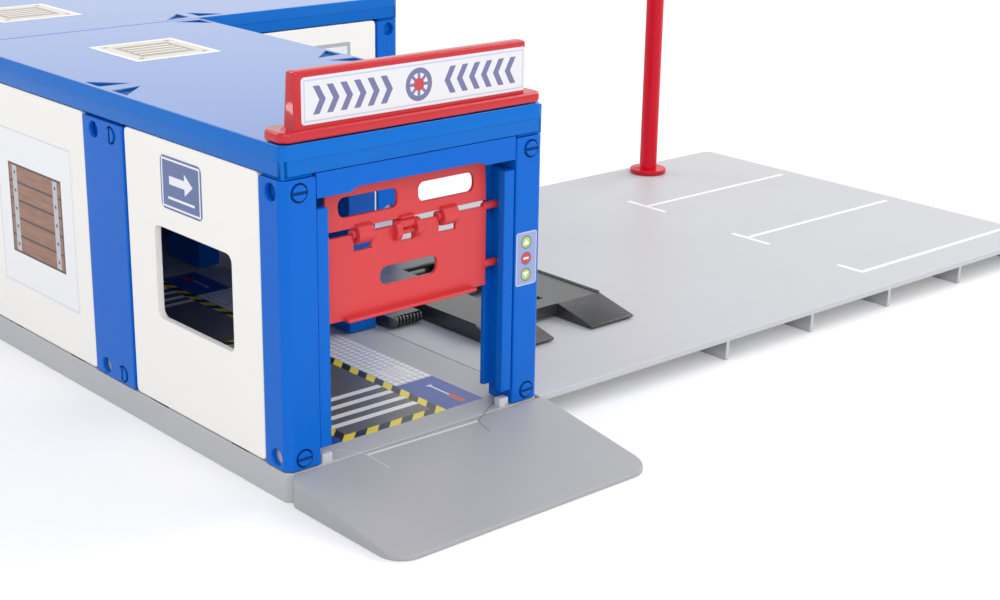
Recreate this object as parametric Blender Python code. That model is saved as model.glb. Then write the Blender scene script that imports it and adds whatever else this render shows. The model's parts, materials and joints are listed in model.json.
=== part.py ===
"""Toy auto workshop with a sectional door, a car lift, an entry ramp and a parking yard."""
import math

import bmesh
import bpy
from mathutils import Matrix, Vector

MM = 0.001

# Grid and base
BAY = 113.0 * MM                  # pitch of the square bays
YARD_BAYS = 3                     # bays that the yard is long
YARD_MARGIN = 6.0 * MM            # its strip beyond the last bay
BASE_HEIGHT = 10.7 * MM
FLOOR_THICKNESS = 2.4 * MM
SKIRT_THICKNESS = 2.0 * MM
FOOT_SIZE = 10.2 * MM
SEAM_GAP = 0.3 * MM               # between two base plates or two roofs
SEAT_GAP = 0.3 * MM               # between a piece and what carries it

# Yard plate
YARD_THICKNESS = 2.6 * MM
RIB_THICKNESS = 2.0 * MM
RIB_PITCH = 55.0 * MM
RIB_COUNT = 5
RIB_START = 105.4 * MM            # first rib, from the yard plate's left edge
YARD_EDGE_RADIUS = 4.0 * MM

# Posts
POST_HEIGHT = 100.0 * MM
POST_WIDTH = 13.4 * MM
MID_POST_WIDTH = 28.4 * MM
MID_CELL_OFFSET = 6.2 * MM        # cell centres of a double post, from its middle
POST_WALL = 2.2 * MM
POST_CHAMFER = 2.4 * MM
SPIGOT_HEIGHT = 8.0 * MM
SPIGOT_CLEARANCE = 0.3 * MM

# Slotted bolts
BOLT_INSET = 4.4 * MM             # from a post's end
BOLT_HEAD_RADIUS = 3.1 * MM
BOLT_HEAD_THICKNESS = 1.3 * MM
BOLT_RECESS = 1.0 * MM
BOLT_SHANK_RADIUS = 1.5 * MM
BOLT_SHANK_LENGTH = 5.4 * MM
BOLT_CLEARANCE = 0.3 * MM
BOLT_SLOT_WIDTH = 1.0 * MM
BOLT_SLOT_DEPTH = 0.7 * MM
PLAIN_HOLE_RADIUS = 3.0 * MM

# Roofs
ROOF_GAP = 1.2 * MM
ROOF_HEIGHT = 10.1 * MM
ROOF_SKIN = 1.4 * MM
ROOF_WALL = 1.8 * MM
FASCIA_STEP = 0.5 * MM
FASCIA_LOWER_HEIGHT = 5.0 * MM
FASCIA_SLANT = 0.7 * MM            # how far the roof's top edge leans in
SHOULDER_SIZE = 11.4 * MM
CLIP_EDGE = 2.8 * MM              # three-sided clip slots, from the roof's edge
CLIP_REACH = 14.2 * MM
CLIP_NEAR = 4.6 * MM              # and from the grid line
CLIP_FAR = 14.4 * MM
CLIP_APEX = 3.6 * MM
CLIP_DEPTH = 1.0 * MM

# Wall panels and window
PANEL_THICKNESS = 3.0 * MM
PANEL_RECESS = 0.6 * MM
PANEL_GAP = 0.7 * MM              # beside the posts
PANEL_TOP_GAP = 0.6 * MM
PANEL_CORNER_RADIUS = 2.0 * MM
TONGUE_WIDTH = 10.0 * MM          # tongues that stand in the floor
TONGUE_THICKNESS = 1.6 * MM
TONGUE_DEPTH = 1.4 * MM
TONGUE_INSET = 16.0 * MM
WINDOW_WIDTH = 49.0 * MM
WINDOW_HEIGHT = 34.6 * MM
WINDOW_SILL = 34.0 * MM           # above the floor
WINDOW_FROM_POST = 18.0 * MM      # window edge, from the front corner post
WINDOW_RADIUS = 3.0 * MM

# Lintel over the door
LINTEL_THICKNESS = 1.8 * MM
LINTEL_FACE = 0.3 * MM
LINTEL_DROP = 6.6 * MM            # middle part, below the roof
LINTEL_LUG_DROP = 1.5 * MM
LINTEL_LUG_LENGTH = 13.4 * MM
LINTEL_SLANT = 3.4 * MM

# Door sections and guide rails
DOOR_PLANE = 7.4 * MM             # middle of the door leaf, behind the front face
DOOR_WIDTH = 69.5 * MM
LEAF_THICKNESS = 1.6 * MM
DOOR_SILL_GAP = 0.3 * MM          # under the closed door
DOOR_TRAVEL = 45.9 * MM           # from closed to the open rest
LOWEST_AXIS = 29.4 * MM           # first hinge axis above the door's lower edge
SECTION_PITCH = 29.5 * MM
TOP_SECTION_LENGTH = 36.0 * MM
MIDDLE_TILT_ANGLE = math.radians(3.0)
TOP_TILT_ANGLE = math.radians(90.0)
EDGE_ABOVE_AXIS = 0.1 * MM
EDGE_BELOW_NEXT = 2.2 * MM
HINGE_BAR_RADIUS = 1.8 * MM
HINGE_CLEARANCE = 0.3 * MM
HOOK_WALL = 1.5 * MM
HOOK_OPENING_ANGLE = 100                # degrees
HOOK_STEPS = 14
HOOK_WIDTH = 6.6 * MM
CENTRE_HOOK_WIDTH = 5.4 * MM
HOOK_SPACING = 18.4 * MM
HOOK_POCKET = 0.5 * MM            # pocket beyond the hook, beside it
HOOK_SHIFT = -1.3 * MM            # middle hook, from the door's middle
POCKET_DROP = 2.2 * MM            # pocket below the hook
CHEEK_WIDTH = 2.4 * MM            # round cheeks beside the middle bar
CHEEK_DROP = 1.9 * MM             # their centre below the axis
BAR_ROOT = 0.8 * MM
SLOT_WIDTH = 25.0 * MM
SLOT_HEIGHT = 6.6 * MM
LIGHT_HEIGHT = 6.8 * MM
SLOT_RADIUS = 2.6 * MM
LIGHT_SPACING = 17.0 * MM
LIGHT_RISE = 9.8 * MM             # lights above the hinge axis below them
PULL_SLOT_RISE = 12.5 * MM        # pull slot above the door's lower edge
GRIP_LENGTH = 56.5 * MM
GRIP_DEPTH = 3.2 * MM
GRIP_THICKNESS = 1.2 * MM
PIN_RADIUS = 1.4 * MM
PIN_END_GAP = 0.8 * MM
LOWER_PIN_RISE = 8.0 * MM
TOP_PIN_RISE = 31.0 * MM
PIN_ROOT = 1.0 * MM
RAIL_LENGTH = 83.0 * MM
RAIL_BOTTOM = 5.8 * MM            # above the floor
RAIL_FRONT = 0.6 * MM
RAIL_WEB = 1.5 * MM
RAIL_WIDTH = 4.7 * MM
RAIL_LIP = 2.0 * MM
CHANNEL_WIDTH = 6.4 * MM
GUIDE_CLEARANCE = 0.7 * MM
GUIDE_THICKNESS = 1.8 * MM
GUIDE_TAIL = 4.0 * MM
GUIDE_START_RATIO = 0.07                # part of the opening where the curved guide begins
GUIDE_END_RATIO = 0.95
GUIDE_STEPS = 10
LUG_INSET = 1.1 * MM              # floor lugs, from the front posts
LUG_FRONT = 0.8 * MM
LUG_SIZE = 4.4 * MM
LUG_DEPTH = 3.2 * MM
LUG_HEIGHT = 3.2 * MM

# Roof sign
SIGN_BASE_DEPTH = 12.4 * MM
SIGN_BASE_HEIGHT = 3.6 * MM
SIGN_BASE_INSET = 0.8 * MM
SIGN_BASE_FRONT = 0.4 * MM
SIGN_HEIGHT = 18.5 * MM
SIGN_WALL = 1.6 * MM
SIGN_PEG_SPACING = 38.0 * MM
SIGN_PEG_WIDTH = 8.0 * MM
SIGN_PEG_FRONT = 4.2 * MM
SIGN_PEG_DEPTH = 3.0 * MM
SIGN_INSET = 7.6 * MM
SIGN_FACE = 2.8 * MM
SIGN_DEPTH_BOTTOM = 7.1 * MM
SIGN_DEPTH_TOP = 5.2 * MM

# Entry ramp
RAMP_LENGTH = 58.0 * MM
RAMP_WIDTH = 114.6 * MM
RAMP_SHIFT = 0.8 * MM              # to the right of the bay's middle
RAMP_TOP_DROP = 0.1 * MM
RAMP_TOE = 1.6 * MM
RAMP_WALL = 2.0 * MM
RAMP_RADIUS = 9.0 * MM
RAMP_BACK_RADIUS = 3.5 * MM

# Tabs that join the base plates through their skirts
TAB_WIDTH = 12.0 * MM
TAB_HEIGHT = 2.4 * MM
TAB_LENGTH = 5.0 * MM
TAB_ROOT = 1.2 * MM
TAB_RISE = 2.6 * MM
TAB_SPACING = 25.0 * MM           # ramp's tab centres, from its middle
TAB_CLEARANCE = 0.3 * MM

# Car lift
LIFT_CENTRE = 56.6 * MM           # from the yard plate's left edge
LIFT_FRONT = 40.5 * MM
LIFT_LENGTH = 109.5 * MM
RUNWAY_INNER = 10.7 * MM          # from the lift's centre line
RUNWAY_WIDTH = 24.6 * MM
RUNWAY_HEIGHT = 6.3 * MM
RUNWAY_WALL = 1.3 * MM
RUNWAY_LIP_WIDTH = 1.0 * MM        # raised outer edge of a runway
RUNWAY_LIP_HEIGHT = 0.8 * MM
LIFT_RAMP_LENGTH = 20.5 * MM
LIFT_RAMP_TOE = 1.0 * MM
LIFT_FLOOR_GAP = 0.6 * MM
CROSSBEAM_WIDTH = 9.0 * MM
CROSSBEAM_THICKNESS = 1.5 * MM
CROSSBEAM_FRONT = 21.0 * MM
CROSSBEAM_BACK = 1.5 * MM
FRONT_BEAM_HEIGHT = 5.0 * MM
ARM_LENGTH = 31.0 * MM
ARM_WIDTH = 5.0 * MM
ARM_RADIUS = 1.4 * MM
ARM_PIVOT_RISE = 3.1 * MM
IDLER_FROM_BACK = 5.0 * MM        # rear arms' pivot, in front of the lift's back edge
PIVOT_SPACING = 38.0 * MM         # from it to the driven shaft in front
DRIVE_ARM_OFFSET = 26.0 * MM      # arm's inner face, from the centre line
IDLER_ARM_OFFSET = 17.0 * MM
SHAFT_RADIUS = 1.0 * MM
SHAFT_CLEARANCE = 0.3 * MM
STUB_RADIUS = 1.0 * MM
EAR_OFFSET = 22.9 * MM
EAR_THICKNESS = 2.2 * MM
EAR_WIDTH = 5.0 * MM
EAR_RISE = 1.7 * MM               # ear above the shaft's axis
LIFT_BASE_THICKNESS = 1.0 * MM
LIFT_BASE_FRONT = 31.0 * MM       # behind the lift's front edge
LIFT_BASE_SIDE_GAP = 0.8 * MM
NOTCH_CLEARANCE = 0.8 * MM
LEVER_WIDTH = 15.8 * MM
LEVER_LENGTH = 16.0 * MM
LEVER_RADIUS = 2.4 * MM
LEVER_CORNER_RADIUS = 3.5 * MM     # its free corner, from above
LEVER_SIDE_GAP = 3.0 * MM
LEVER_RIB_COUNT = 7
LEVER_RIB_PITCH = 1.8 * MM
LEVER_RIB_WIDTH = 0.8 * MM
LEVER_RIB_DEPTH = 1.4 * MM
STUB_END = 0.4 * MM
LIFT_PEG_RADIUS = 2.5 * MM
LIFT_PEG_INSET = 36.0 * MM        # from the lift's front and back edges

# Mast
MAST_FROM_RIGHT = 65.5 * MM
MAST_FROM_BACK = 14.0 * MM
MAST_RADIUS = 4.75 * MM
MAST_HEIGHT = 140.0 * MM
MAST_FLANGE_RADIUS = 10.0 * MM
MAST_FLANGE_HEIGHT = 2.4 * MM
MAST_PEG_RADIUS = 3.0 * MM
MAST_NECK_RADIUS = 3.0 * MM
MAST_NECK_HEIGHT = 8.0 * MM
MAST_SIGN_WIDTH = 46.0 * MM
MAST_SIGN_HEIGHT = 36.0 * MM
MAST_SIGN_DEPTH = 9.0 * MM
MAST_SIGN_RADIUS = 4.0 * MM

ROUND_SIDES = 16
MAST_SIDES = 32
OVERSHOOT = 1.0 * MM              # how far cutters and joined pieces run past a face

POST_TOP = BASE_HEIGHT + POST_HEIGHT
ROOF_BOTTOM = POST_TOP + ROOF_GAP
ROOF_TOP = ROOF_BOTTOM + ROOF_HEIGHT
BOLT_HEIGHTS = (BASE_HEIGHT + BOLT_INSET, POST_TOP - BOLT_INSET)
CLOSED_AXIS = BASE_HEIGHT + DOOR_SILL_GAP + LOWEST_AXIS
YARD_LEFT = BAY + SEAM_GAP / 2
IDLER_PIVOT = LIFT_LENGTH - IDLER_FROM_BACK
DRIVE_PIVOT = IDLER_PIVOT - PIVOT_SPACING
YARD_RIGHT = BAY * (1 + YARD_BAYS) + YARD_MARGIN

for leftover in list(bpy.data.objects):
    bpy.data.objects.remove(leftover, do_unlink=True)

model = bpy.data.collections.new("toy_auto_workshop")
tools = bpy.data.collections.new("cutters")
bpy.context.scene.collection.children.link(model)
bpy.context.scene.collection.children.link(tools)


def empty(name, place, parent=None, tilt=0.0):
    """A frame for pieces; tilt leans its +Z back towards +Y."""
    frame = bpy.data.objects.new(name, None)
    frame.empty_display_size = 5 * MM
    frame.location = place
    frame.rotation_euler.x = -tilt
    frame.parent = parent
    tools.objects.link(frame)
    return frame


# The origin is under the middle of the front left post, on the ground.
grid = empty("grid_corner", (-POST_WIDTH / 2, -POST_WIDTH / 2, 0))


def material(name, colour, roughness, metallic=0.0):
    finish = bpy.data.materials.new(name)
    finish.use_nodes = True
    shader = finish.node_tree.nodes["Principled BSDF"]
    shader.inputs["Base Color"].default_value = (*colour, 1.0)
    shader.inputs["Roughness"].default_value = roughness
    shader.inputs["Metallic"].default_value = metallic
    finish.diffuse_color = (*colour, 1.0)
    return finish


BLUE = material("blue_plastic", (0.012, 0.115, 0.62), 0.38)
WHITE = material("white_plastic", (0.88, 0.87, 0.82), 0.45)
RED = material("red_plastic", (0.66, 0.035, 0.045), 0.35)
GREY = material("grey_plastic", (0.40, 0.41, 0.43), 0.5)
PALE_GREY = material("pale_grey_plastic", (0.56, 0.57, 0.59), 0.5)
BLACK = material("black_plastic", (0.03, 0.031, 0.034), 0.5)


def add(name, mesh, parent=None, place=(0, 0, 0)):
    piece = bpy.data.objects.new(name, mesh)
    piece.parent = parent or grid
    piece.location = place
    model.objects.link(piece)
    return piece


def from_bmesh(name, bm, parent=None, place=(0, 0, 0)):
    mesh = bpy.data.meshes.new(name)
    bm.to_mesh(mesh)
    bm.free()
    return add(name, mesh, parent, place)


def add_cube(bm, low, high):
    """A cuboid between two corners."""
    low, high = Vector(low), Vector(high)
    place = Matrix.Translation((low + high) / 2) @ Matrix.Diagonal((*(high - low), 1.0))
    return bmesh.ops.create_cube(bm, size=1.0, matrix=place)["verts"]


def box(name, low, high, parent=None, corners=(), chamfer=0.0, segments=1, place=(0, 0, 0)):
    """A cuboid; corners lists the upright edges to chamfer, as (x sign, y sign)."""
    bm = bmesh.new()
    add_cube(bm, low, high)
    middle = (Vector(low) + Vector(high)) / 2
    edges = []
    for edge in bm.edges:
        centre = (edge.verts[0].co + edge.verts[1].co) / 2 - middle
        upright = abs(edge.verts[0].co.z - edge.verts[1].co.z) > 1e-6
        if upright and any(centre.x * x > 0 and centre.y * y > 0 for x, y in corners):
            edges.append(edge)
    if edges:
        bmesh.ops.bevel(bm, geom=edges, offset=chamfer, segments=segments, profile=0.5,
                        affect="EDGES")
    return from_bmesh(name, bm, parent, place)


def boxes(name, spans, parent=None):
    """Several cuboids, clear of each other, as one tool."""
    bm = bmesh.new()
    for low, high in spans:
        add_cube(bm, low, high)
    return from_bmesh(name, bm, parent)


def rods(name, spans, parent=None, sides=ROUND_SIDES):
    """Cylinders given as (start, end, radius), clear of each other, as one object."""
    bm = bmesh.new()
    for start, end, radius in spans:
        start, end = Vector(start), Vector(end)
        turn = (end - start).to_track_quat("Z", "Y").to_matrix().to_4x4()
        bmesh.ops.create_cone(bm, cap_ends=True, segments=sides, radius1=radius, radius2=radius,
                              depth=(end - start).length,
                              matrix=Matrix.Translation((start + end) / 2) @ turn)
    return from_bmesh(name, bm, parent)


def rounded(low, high, radius, steps=5):
    """Points of a rectangle with round corners, anticlockwise."""
    (x0, y0), (x1, y1) = low, high
    centres = [(x1 - radius, y0 + radius, -90), (x1 - radius, y1 - radius, 0),
               (x0 + radius, y1 - radius, 90), (x0 + radius, y0 + radius, 180)]
    points = []
    for cx, cy, start in centres:
        for step in range(steps + 1):
            angle = math.radians(start + 90 * step / steps)
            points.append((cx + radius * math.cos(angle), cy + radius * math.sin(angle)))
    return points


def arc(radius, start, end, steps):
    """Points of an arc about the origin, angles in degrees."""
    angles = [math.radians(start + (end - start) * step / steps) for step in range(steps + 1)]
    return [(radius * math.cos(angle), radius * math.sin(angle)) for angle in angles]


PLANES = {
    "XY": Matrix.Identity(4),
    "XZ": Matrix(((1, 0, 0, 0), (0, 0, -1, 0), (0, 1, 0, 0), (0, 0, 0, 1))),
    "YZ": Matrix(((0, 0, 1, 0), (1, 0, 0, 0), (0, 1, 0, 0), (0, 0, 0, 1))),
}
OUT_OF_PLANE = {"XY": (0, 0, 1), "XZ": (0, 1, 0), "YZ": (1, 0, 0)}


def plate(name, loops, plane, low, high, parent=None):
    """A flat outline with holes, given depth from low to high across its plane."""
    curve = bpy.data.curves.new(name, "CURVE")
    curve.dimensions = "2D"
    curve.fill_mode = "BOTH"
    curve.extrude = (high - low) / 2
    for loop in loops:
        spline = curve.splines.new("POLY")
        spline.points.add(len(loop) - 1)
        for point, (x, y) in zip(spline.points, loop):
            point.co = (x, y, 0, 1)
        spline.use_cyclic_u = True
    drawn = bpy.data.objects.new(name + "_outline", curve)
    tools.objects.link(drawn)
    bpy.context.view_layer.update()
    mesh = bpy.data.meshes.new_from_object(drawn.evaluated_get(bpy.context.evaluated_depsgraph_get()))
    bpy.data.objects.remove(drawn, do_unlink=True)
    bm = bmesh.new()
    bm.from_mesh(mesh)
    bpy.data.meshes.remove(mesh)
    bmesh.ops.remove_doubles(bm, verts=bm.verts, dist=0.001 * MM)
    offset = Vector(OUT_OF_PLANE[plane]) * (low + high) / 2
    bmesh.ops.transform(bm, matrix=Matrix.Translation(offset) @ PLANES[plane], verts=bm.verts)
    bmesh.ops.recalc_face_normals(bm, faces=bm.faces)
    return from_bmesh(name, bm, parent)


def combine(piece, operation, others):
    for other in others:
        modifier = piece.modifiers.new(other.name, "BOOLEAN")
        modifier.operation = operation
        modifier.solver = "EXACT"
        modifier.object = other
        other.hide_render = True
        other.display_type = "WIRE"
        model.objects.unlink(other)
        tools.objects.link(other)
    return piece


def cut(piece, *others):
    return combine(piece, "DIFFERENCE", others)


def join(piece, *others):
    return combine(piece, "UNION", others)


def finish(piece, paint):
    piece.data.materials.clear()
    piece.data.materials.append(paint)
    piece.data.shade_smooth()
    piece.data.set_sharp_from_angle(angle=math.radians(30))
    return piece


# Posts: name -> lower corner, upper corner, cells, chamfered edges, bolted faces, plain holes
def post_layout():
    w, m, s = POST_WIDTH, MID_POST_WIDTH, SEAM_GAP / 2
    c, o = POST_WIDTH / 2, MID_CELL_OFFSET
    two, three = 2 * BAY, 3 * BAY
    return {
        "front_left_post": ((0, 0), (w, w), [(c, c)], [(-1, -1)], ["-y0"], ["-x0"]),
        "front_right_post": ((BAY - w, 0), (BAY, w), [(BAY - c, c)], [(1, -1)], ["-y0"], ["+x0"]),
        "left_mid_post": ((0, BAY - m / 2), (w, BAY + m / 2), [(c, BAY - o), (c, BAY + o)], [],
                          ["-x0"], ["-x1"]),
        "right_mid_post": ((BAY - w, BAY - m / 2), (BAY, BAY + m / 2),
                           [(BAY - c, BAY - o), (BAY - c, BAY + o)], [], [], ["+x0", "+x1"]),
        "left_rear_post": ((0, two - m / 2), (w, two + m / 2), [(c, two - o), (c, two + o)], [],
                           [], ["-x0", "-x1"]),
        "inner_side_post": ((BAY - w, two - w), (BAY, two - s), [(BAY - c, two - c)], [], [], []),
        "inner_rear_post": ((BAY - w, two + s), (BAY + w, two + w),
                            [(BAY - o, two + c), (BAY + o, two + c)], [], [], ["-y1"]),
        "rear_front_right_post": ((2 * BAY - w, two), (2 * BAY, two + w), [(2 * BAY - c, two + c)],
                                  [(1, -1)], [], ["-y0", "+x0"]),
        "back_left_post": ((0, three - w), (w, three), [(c, three - c)], [(-1, 1)], ["+y0"],
                           ["-x0"]),
        "back_mid_post": ((BAY - m / 2, three - w), (BAY + m / 2, three),
                          [(BAY - o, three - c), (BAY + o, three - c)], [], [], ["+y0", "+y1"]),
        "back_right_post": ((2 * BAY - w, three - w), (2 * BAY, three), [(2 * BAY - c, three - c)],
                            [(1, 1)], ["+y0"], ["+x0"]),
    }


POSTS = post_layout()


def face_point(low, high, cell, face):
    """Where a bolt's axis meets a face, and the way out of it."""
    sign = -1 if face[0] == "-" else 1
    if face[1] == "x":
        return (low[0] if sign < 0 else high[0], cell[1]), Vector((sign, 0, 0))
    return (cell[0], low[1] if sign < 0 else high[1]), Vector((0, sign, 0))


def bolt_places():
    """Every bolt as (post name, point on the face, way out)."""
    found = []
    for name, (low, high, cells, _, bolted, _) in POSTS.items():
        for face in bolted:
            (x, y), out = face_point(low, high, cells[int(face[2])], face)
            for height in BOLT_HEIGHTS:
                found.append((name, Vector((x, y, height)), out))
    return found


BOLTS = bolt_places()


def shank_holes(name, low, high, bottom, top):
    """Bolt holes in the spigots that stand inside a space, or None."""
    spans = []
    for _, point, out in BOLTS:
        inside = low[0] <= point.x <= high[0] and low[1] <= point.y <= high[1]
        if inside and bottom < point.z < top:
            depth = BOLT_SHANK_LENGTH + SEAT_GAP
            spans.append((point, point - out * depth, BOLT_SHANK_RADIUS + BOLT_CLEARANCE))
    return rods(name, spans) if spans else None


def cells_within(low, high):
    return [cell for low_high in POSTS.values() for cell in low_high[2]
            if low[0] < cell[0] < high[0] and low[1] < cell[1] < high[1]]


def square(centre, size, bottom, top):
    x, y = centre
    return (x - size / 2, y - size / 2, bottom), (x + size / 2, y + size / 2, top)


def spigot_size():
    return POST_WIDTH - 2 * POST_WALL - 2 * SPIGOT_CLEARANCE


def build_post(name):
    low, high, cells, chamfers, bolted, plain = POSTS[name]
    post = box(name, (*low, BASE_HEIGHT + SEAT_GAP), (*high, POST_TOP), corners=chamfers,
               chamfer=POST_CHAMFER)
    cavity = POST_WIDTH - 2 * POST_WALL
    cut(post, boxes(name + "_cells", [square(cell, cavity, 0, POST_TOP + OVERSHOOT)
                                      for cell in cells]))
    holes = []
    recesses = []
    for face in bolted + plain:
        (x, y), out = face_point(low, high, cells[int(face[2])], face)
        bolt = face in bolted
        radius = BOLT_SHANK_RADIUS + BOLT_CLEARANCE if bolt else PLAIN_HOLE_RADIUS
        for height in BOLT_HEIGHTS:
            point = Vector((x, y, height))
            holes.append((point + out * OVERSHOOT, point - out * (POST_WALL + OVERSHOOT), radius))
            if bolt:
                recesses.append((point + out * OVERSHOOT, point - out * BOLT_RECESS,
                                 BOLT_HEAD_RADIUS + BOLT_CLEARANCE))
    if holes:
        cut(post, rods(name + "_holes", holes))
    if recesses:
        cut(post, rods(name + "_recesses", recesses))
    return finish(post, BLUE)


def build_bolts():
    for number, (_, point, out) in enumerate(BOLTS, start=1):
        name = f"slotted_bolt_{number:02d}"
        side = Vector((0, 0, 1)).cross(out)
        head_back = point - out * (BOLT_RECESS - SEAT_GAP)
        head_front = head_back + out * BOLT_HEAD_THICKNESS
        bolt = rods(name, [(head_back, head_front, BOLT_HEAD_RADIUS)])
        join(bolt, rods(name + "_shank", [(head_back + out * OVERSHOOT / 2,
                                           point - out * BOLT_SHANK_LENGTH, BOLT_SHANK_RADIUS)]))
        upright = out.x < 0
        along, aside = (Vector((0, 0, 1)), side) if upright else (side, Vector((0, 0, 1)))
        half = along * (BOLT_HEAD_RADIUS + OVERSHOOT) + aside * (BOLT_SLOT_WIDTH / 2)
        corner_a = head_front - out * BOLT_SLOT_DEPTH - half
        corner_b = head_front + out * OVERSHOOT + half
        low = [min(a, b) for a, b in zip(corner_a, corner_b)]
        high = [max(a, b) for a, b in zip(corner_a, corner_b)]
        cut(bolt, box(name + "_slot", low, high))
        finish(bolt, BLUE)


def build_tray(name, low, high, chamfers):
    """A building floor: plate, skirt, feet and the spigots that the posts slide over."""
    tray = box(name, (*low, 0), (*high, BASE_HEIGHT), corners=chamfers, chamfer=POST_CHAMFER)
    inner_low = [value + SKIRT_THICKNESS for value in low]
    inner_high = [value - SKIRT_THICKNESS for value in high]
    under = BASE_HEIGHT - FLOOR_THICKNESS
    hollow = box(name + "_hollow", (*inner_low, -OVERSHOOT), (*inner_high, under))
    cells = cells_within(low, high)
    cut(hollow, boxes(name + "_feet", [square(cell, FOOT_SIZE, -2 * OVERSHOOT, BASE_HEIGHT)
                                       for cell in cells]))
    cut(tray, hollow)
    spigots = [square(cell, spigot_size(), BASE_HEIGHT - FLOOR_THICKNESS / 2,
                      BASE_HEIGHT + SPIGOT_HEIGHT) for cell in cells]
    join(tray, boxes(name + "_spigots", spigots))
    holes = shank_holes(name + "_bolt_holes", low, high, 0, BASE_HEIGHT + SPIGOT_HEIGHT)
    return cut(tray, holes) if holes else tray


def tab_box(centre, out, rise, length, grow=0.0):
    """A flat tab that reaches out from an edge under the floors, or its slot when grown."""
    x, y = centre
    reach = length + grow
    half = TAB_WIDTH / 2 + grow
    low_z, high_z = rise - grow, rise + TAB_HEIGHT + grow
    spans = {
        "+y": ((x - half, y - TAB_ROOT, low_z), (x + half, y + reach, high_z)),
        "+x": ((x - TAB_ROOT, y - half, low_z), (x + reach, y + half, high_z)),
        "-y": ((x - half, y - reach, low_z), (x + half, y + TAB_ROOT, high_z)),
        "-x": ((x - reach, y - half, low_z), (x + TAB_ROOT, y + half, high_z)),
    }
    return spans[out]


def ramp_tabs():
    middle = BAY / 2 + RAMP_SHIFT
    return [((middle + side * TAB_SPACING, -SEAM_GAP), "+y") for side in (-1, 1)]


def yard_tabs():
    return [((YARD_LEFT, BAY / 2), "-x"), ((YARD_LEFT, BAY * 1.5), "-x")]


def rear_tabs():
    edge = 2 * BAY + SEAM_GAP / 2
    return [((BAY * 0.5, edge), "-y"), ((BAY * 1.5, edge), "-y")]


def tabs(name, places):
    return boxes(name, [tab_box(at, out, TAB_RISE, TAB_LENGTH) for at, out in places])


def tab_slots(name, places):
    return boxes(name, [tab_box(at, out, TAB_RISE, TAB_LENGTH, TAB_CLEARANCE)
                        for at, out in places])


# Wall panels: name -> (wall, start, end, position of the outer face)
def panel_layout():
    w, m = POST_WIDTH + PANEL_GAP, MID_POST_WIDTH / 2 + PANEL_GAP
    return {
        "left_window_panel": ("-x", w, BAY - m, 0),
        "left_middle_panel": ("-x", BAY + m, 2 * BAY - m, 0),
        "left_rear_panel": ("-x", 2 * BAY + m, 3 * BAY - w, 0),
        "back_left_panel": ("+y", w, BAY - m, 3 * BAY),
        "back_right_panel": ("+y", BAY + m, 2 * BAY - w, 3 * BAY),
        "right_rear_panel": ("+x", 2 * BAY + w, 3 * BAY - w, 2 * BAY),
        "service_front_panel": ("-y", BAY + w, 2 * BAY - w, 2 * BAY),
        "inner_side_panel": ("+x", BAY + m, 2 * BAY - w, BAY),
    }


PANELS = panel_layout()


def panel_depths(wall, face):
    """The panel's two faces, across the wall, lower value first."""
    sign = -1 if wall[0] == "-" else 1
    outer = face - sign * PANEL_RECESS
    return sorted((outer, outer - sign * PANEL_THICKNESS))


def panel_feet(name, grow=0.0):
    """Tongues under a panel, or their slots in the floor when grown."""
    wall, start, end, face = PANELS[name]
    near, far = panel_depths(wall, face)
    inset = (PANEL_THICKNESS - TONGUE_THICKNESS) / 2 - grow
    spans = []
    for at in (start + TONGUE_INSET, end - TONGUE_INSET):
        low_a, high_a = at - TONGUE_WIDTH / 2 - grow, at + TONGUE_WIDTH / 2 + grow
        low_b, high_b = near + inset, far - inset
        bottom = BASE_HEIGHT - TONGUE_DEPTH - grow
        top = BASE_HEIGHT + SEAT_GAP + OVERSHOOT
        if wall[1] == "x":
            spans.append(((low_b, low_a, bottom), (high_b, high_a, top)))
        else:
            spans.append(((low_a, low_b, bottom), (high_a, high_b, top)))
    return spans


def build_panel(name):
    wall, start, end, face = PANELS[name]
    bottom, top = BASE_HEIGHT + SEAT_GAP, ROOF_BOTTOM - PANEL_TOP_GAP
    loops = [rounded((start, bottom), (end, top), PANEL_CORNER_RADIUS, 3)]
    if name == "left_window_panel":
        left, sill = POST_WIDTH + WINDOW_FROM_POST, BASE_HEIGHT + WINDOW_SILL
        loops.append(rounded((left, sill), (left + WINDOW_WIDTH, sill + WINDOW_HEIGHT),
                             WINDOW_RADIUS))
    near, far = panel_depths(wall, face)
    panel = plate(name, loops, "YZ" if wall[1] == "x" else "XZ", near, far)
    return finish(join(panel, boxes(name + "_tongues", panel_feet(name))), WHITE)


def tongue_slots(name, panels):
    return boxes(name, [span for panel in panels for span in panel_feet(panel, SEAT_GAP)])


def build_workshop_floor():
    low, high = (0, 0), (BAY, 2 * BAY - SEAM_GAP / 2)
    floor = build_tray("workshop_floor", low, high, [(-1, -1), (1, -1)])
    cut(floor, tab_slots("workshop_tab_slots", ramp_tabs() + yard_tabs()[:1]))
    cut(floor, tab_slots("workshop_rear_slots", yard_tabs()[1:] + rear_tabs()[:1]))
    cut(floor, tongue_slots("workshop_tongue_slots",
                            ["left_window_panel", "left_middle_panel", "inner_side_panel"]))
    lugs = []
    for x in (POST_WIDTH + LUG_INSET, BAY - POST_WIDTH - LUG_INSET - LUG_SIZE):
        lugs.append(((x, LUG_FRONT, BASE_HEIGHT - FLOOR_THICKNESS / 2),
                     (x + LUG_SIZE, LUG_FRONT + LUG_DEPTH, BASE_HEIGHT + LUG_HEIGHT)))
    join(floor, boxes("workshop_lugs", lugs))
    return finish(floor, GREY)


def build_rear_floor():
    low, high = (0, 2 * BAY + SEAM_GAP / 2), (2 * BAY, 3 * BAY)
    floor = build_tray("rear_floor", low, high, [(-1, 1), (1, 1)])
    join(floor, tabs("rear_floor_tabs", rear_tabs()))
    cut(floor, tongue_slots("rear_tongue_slots",
                            ["left_rear_panel", "back_left_panel", "back_right_panel",
                             "right_rear_panel", "service_front_panel"]))
    return finish(floor, GREY)


def lift_x():
    return BAY + LIFT_CENTRE


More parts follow.
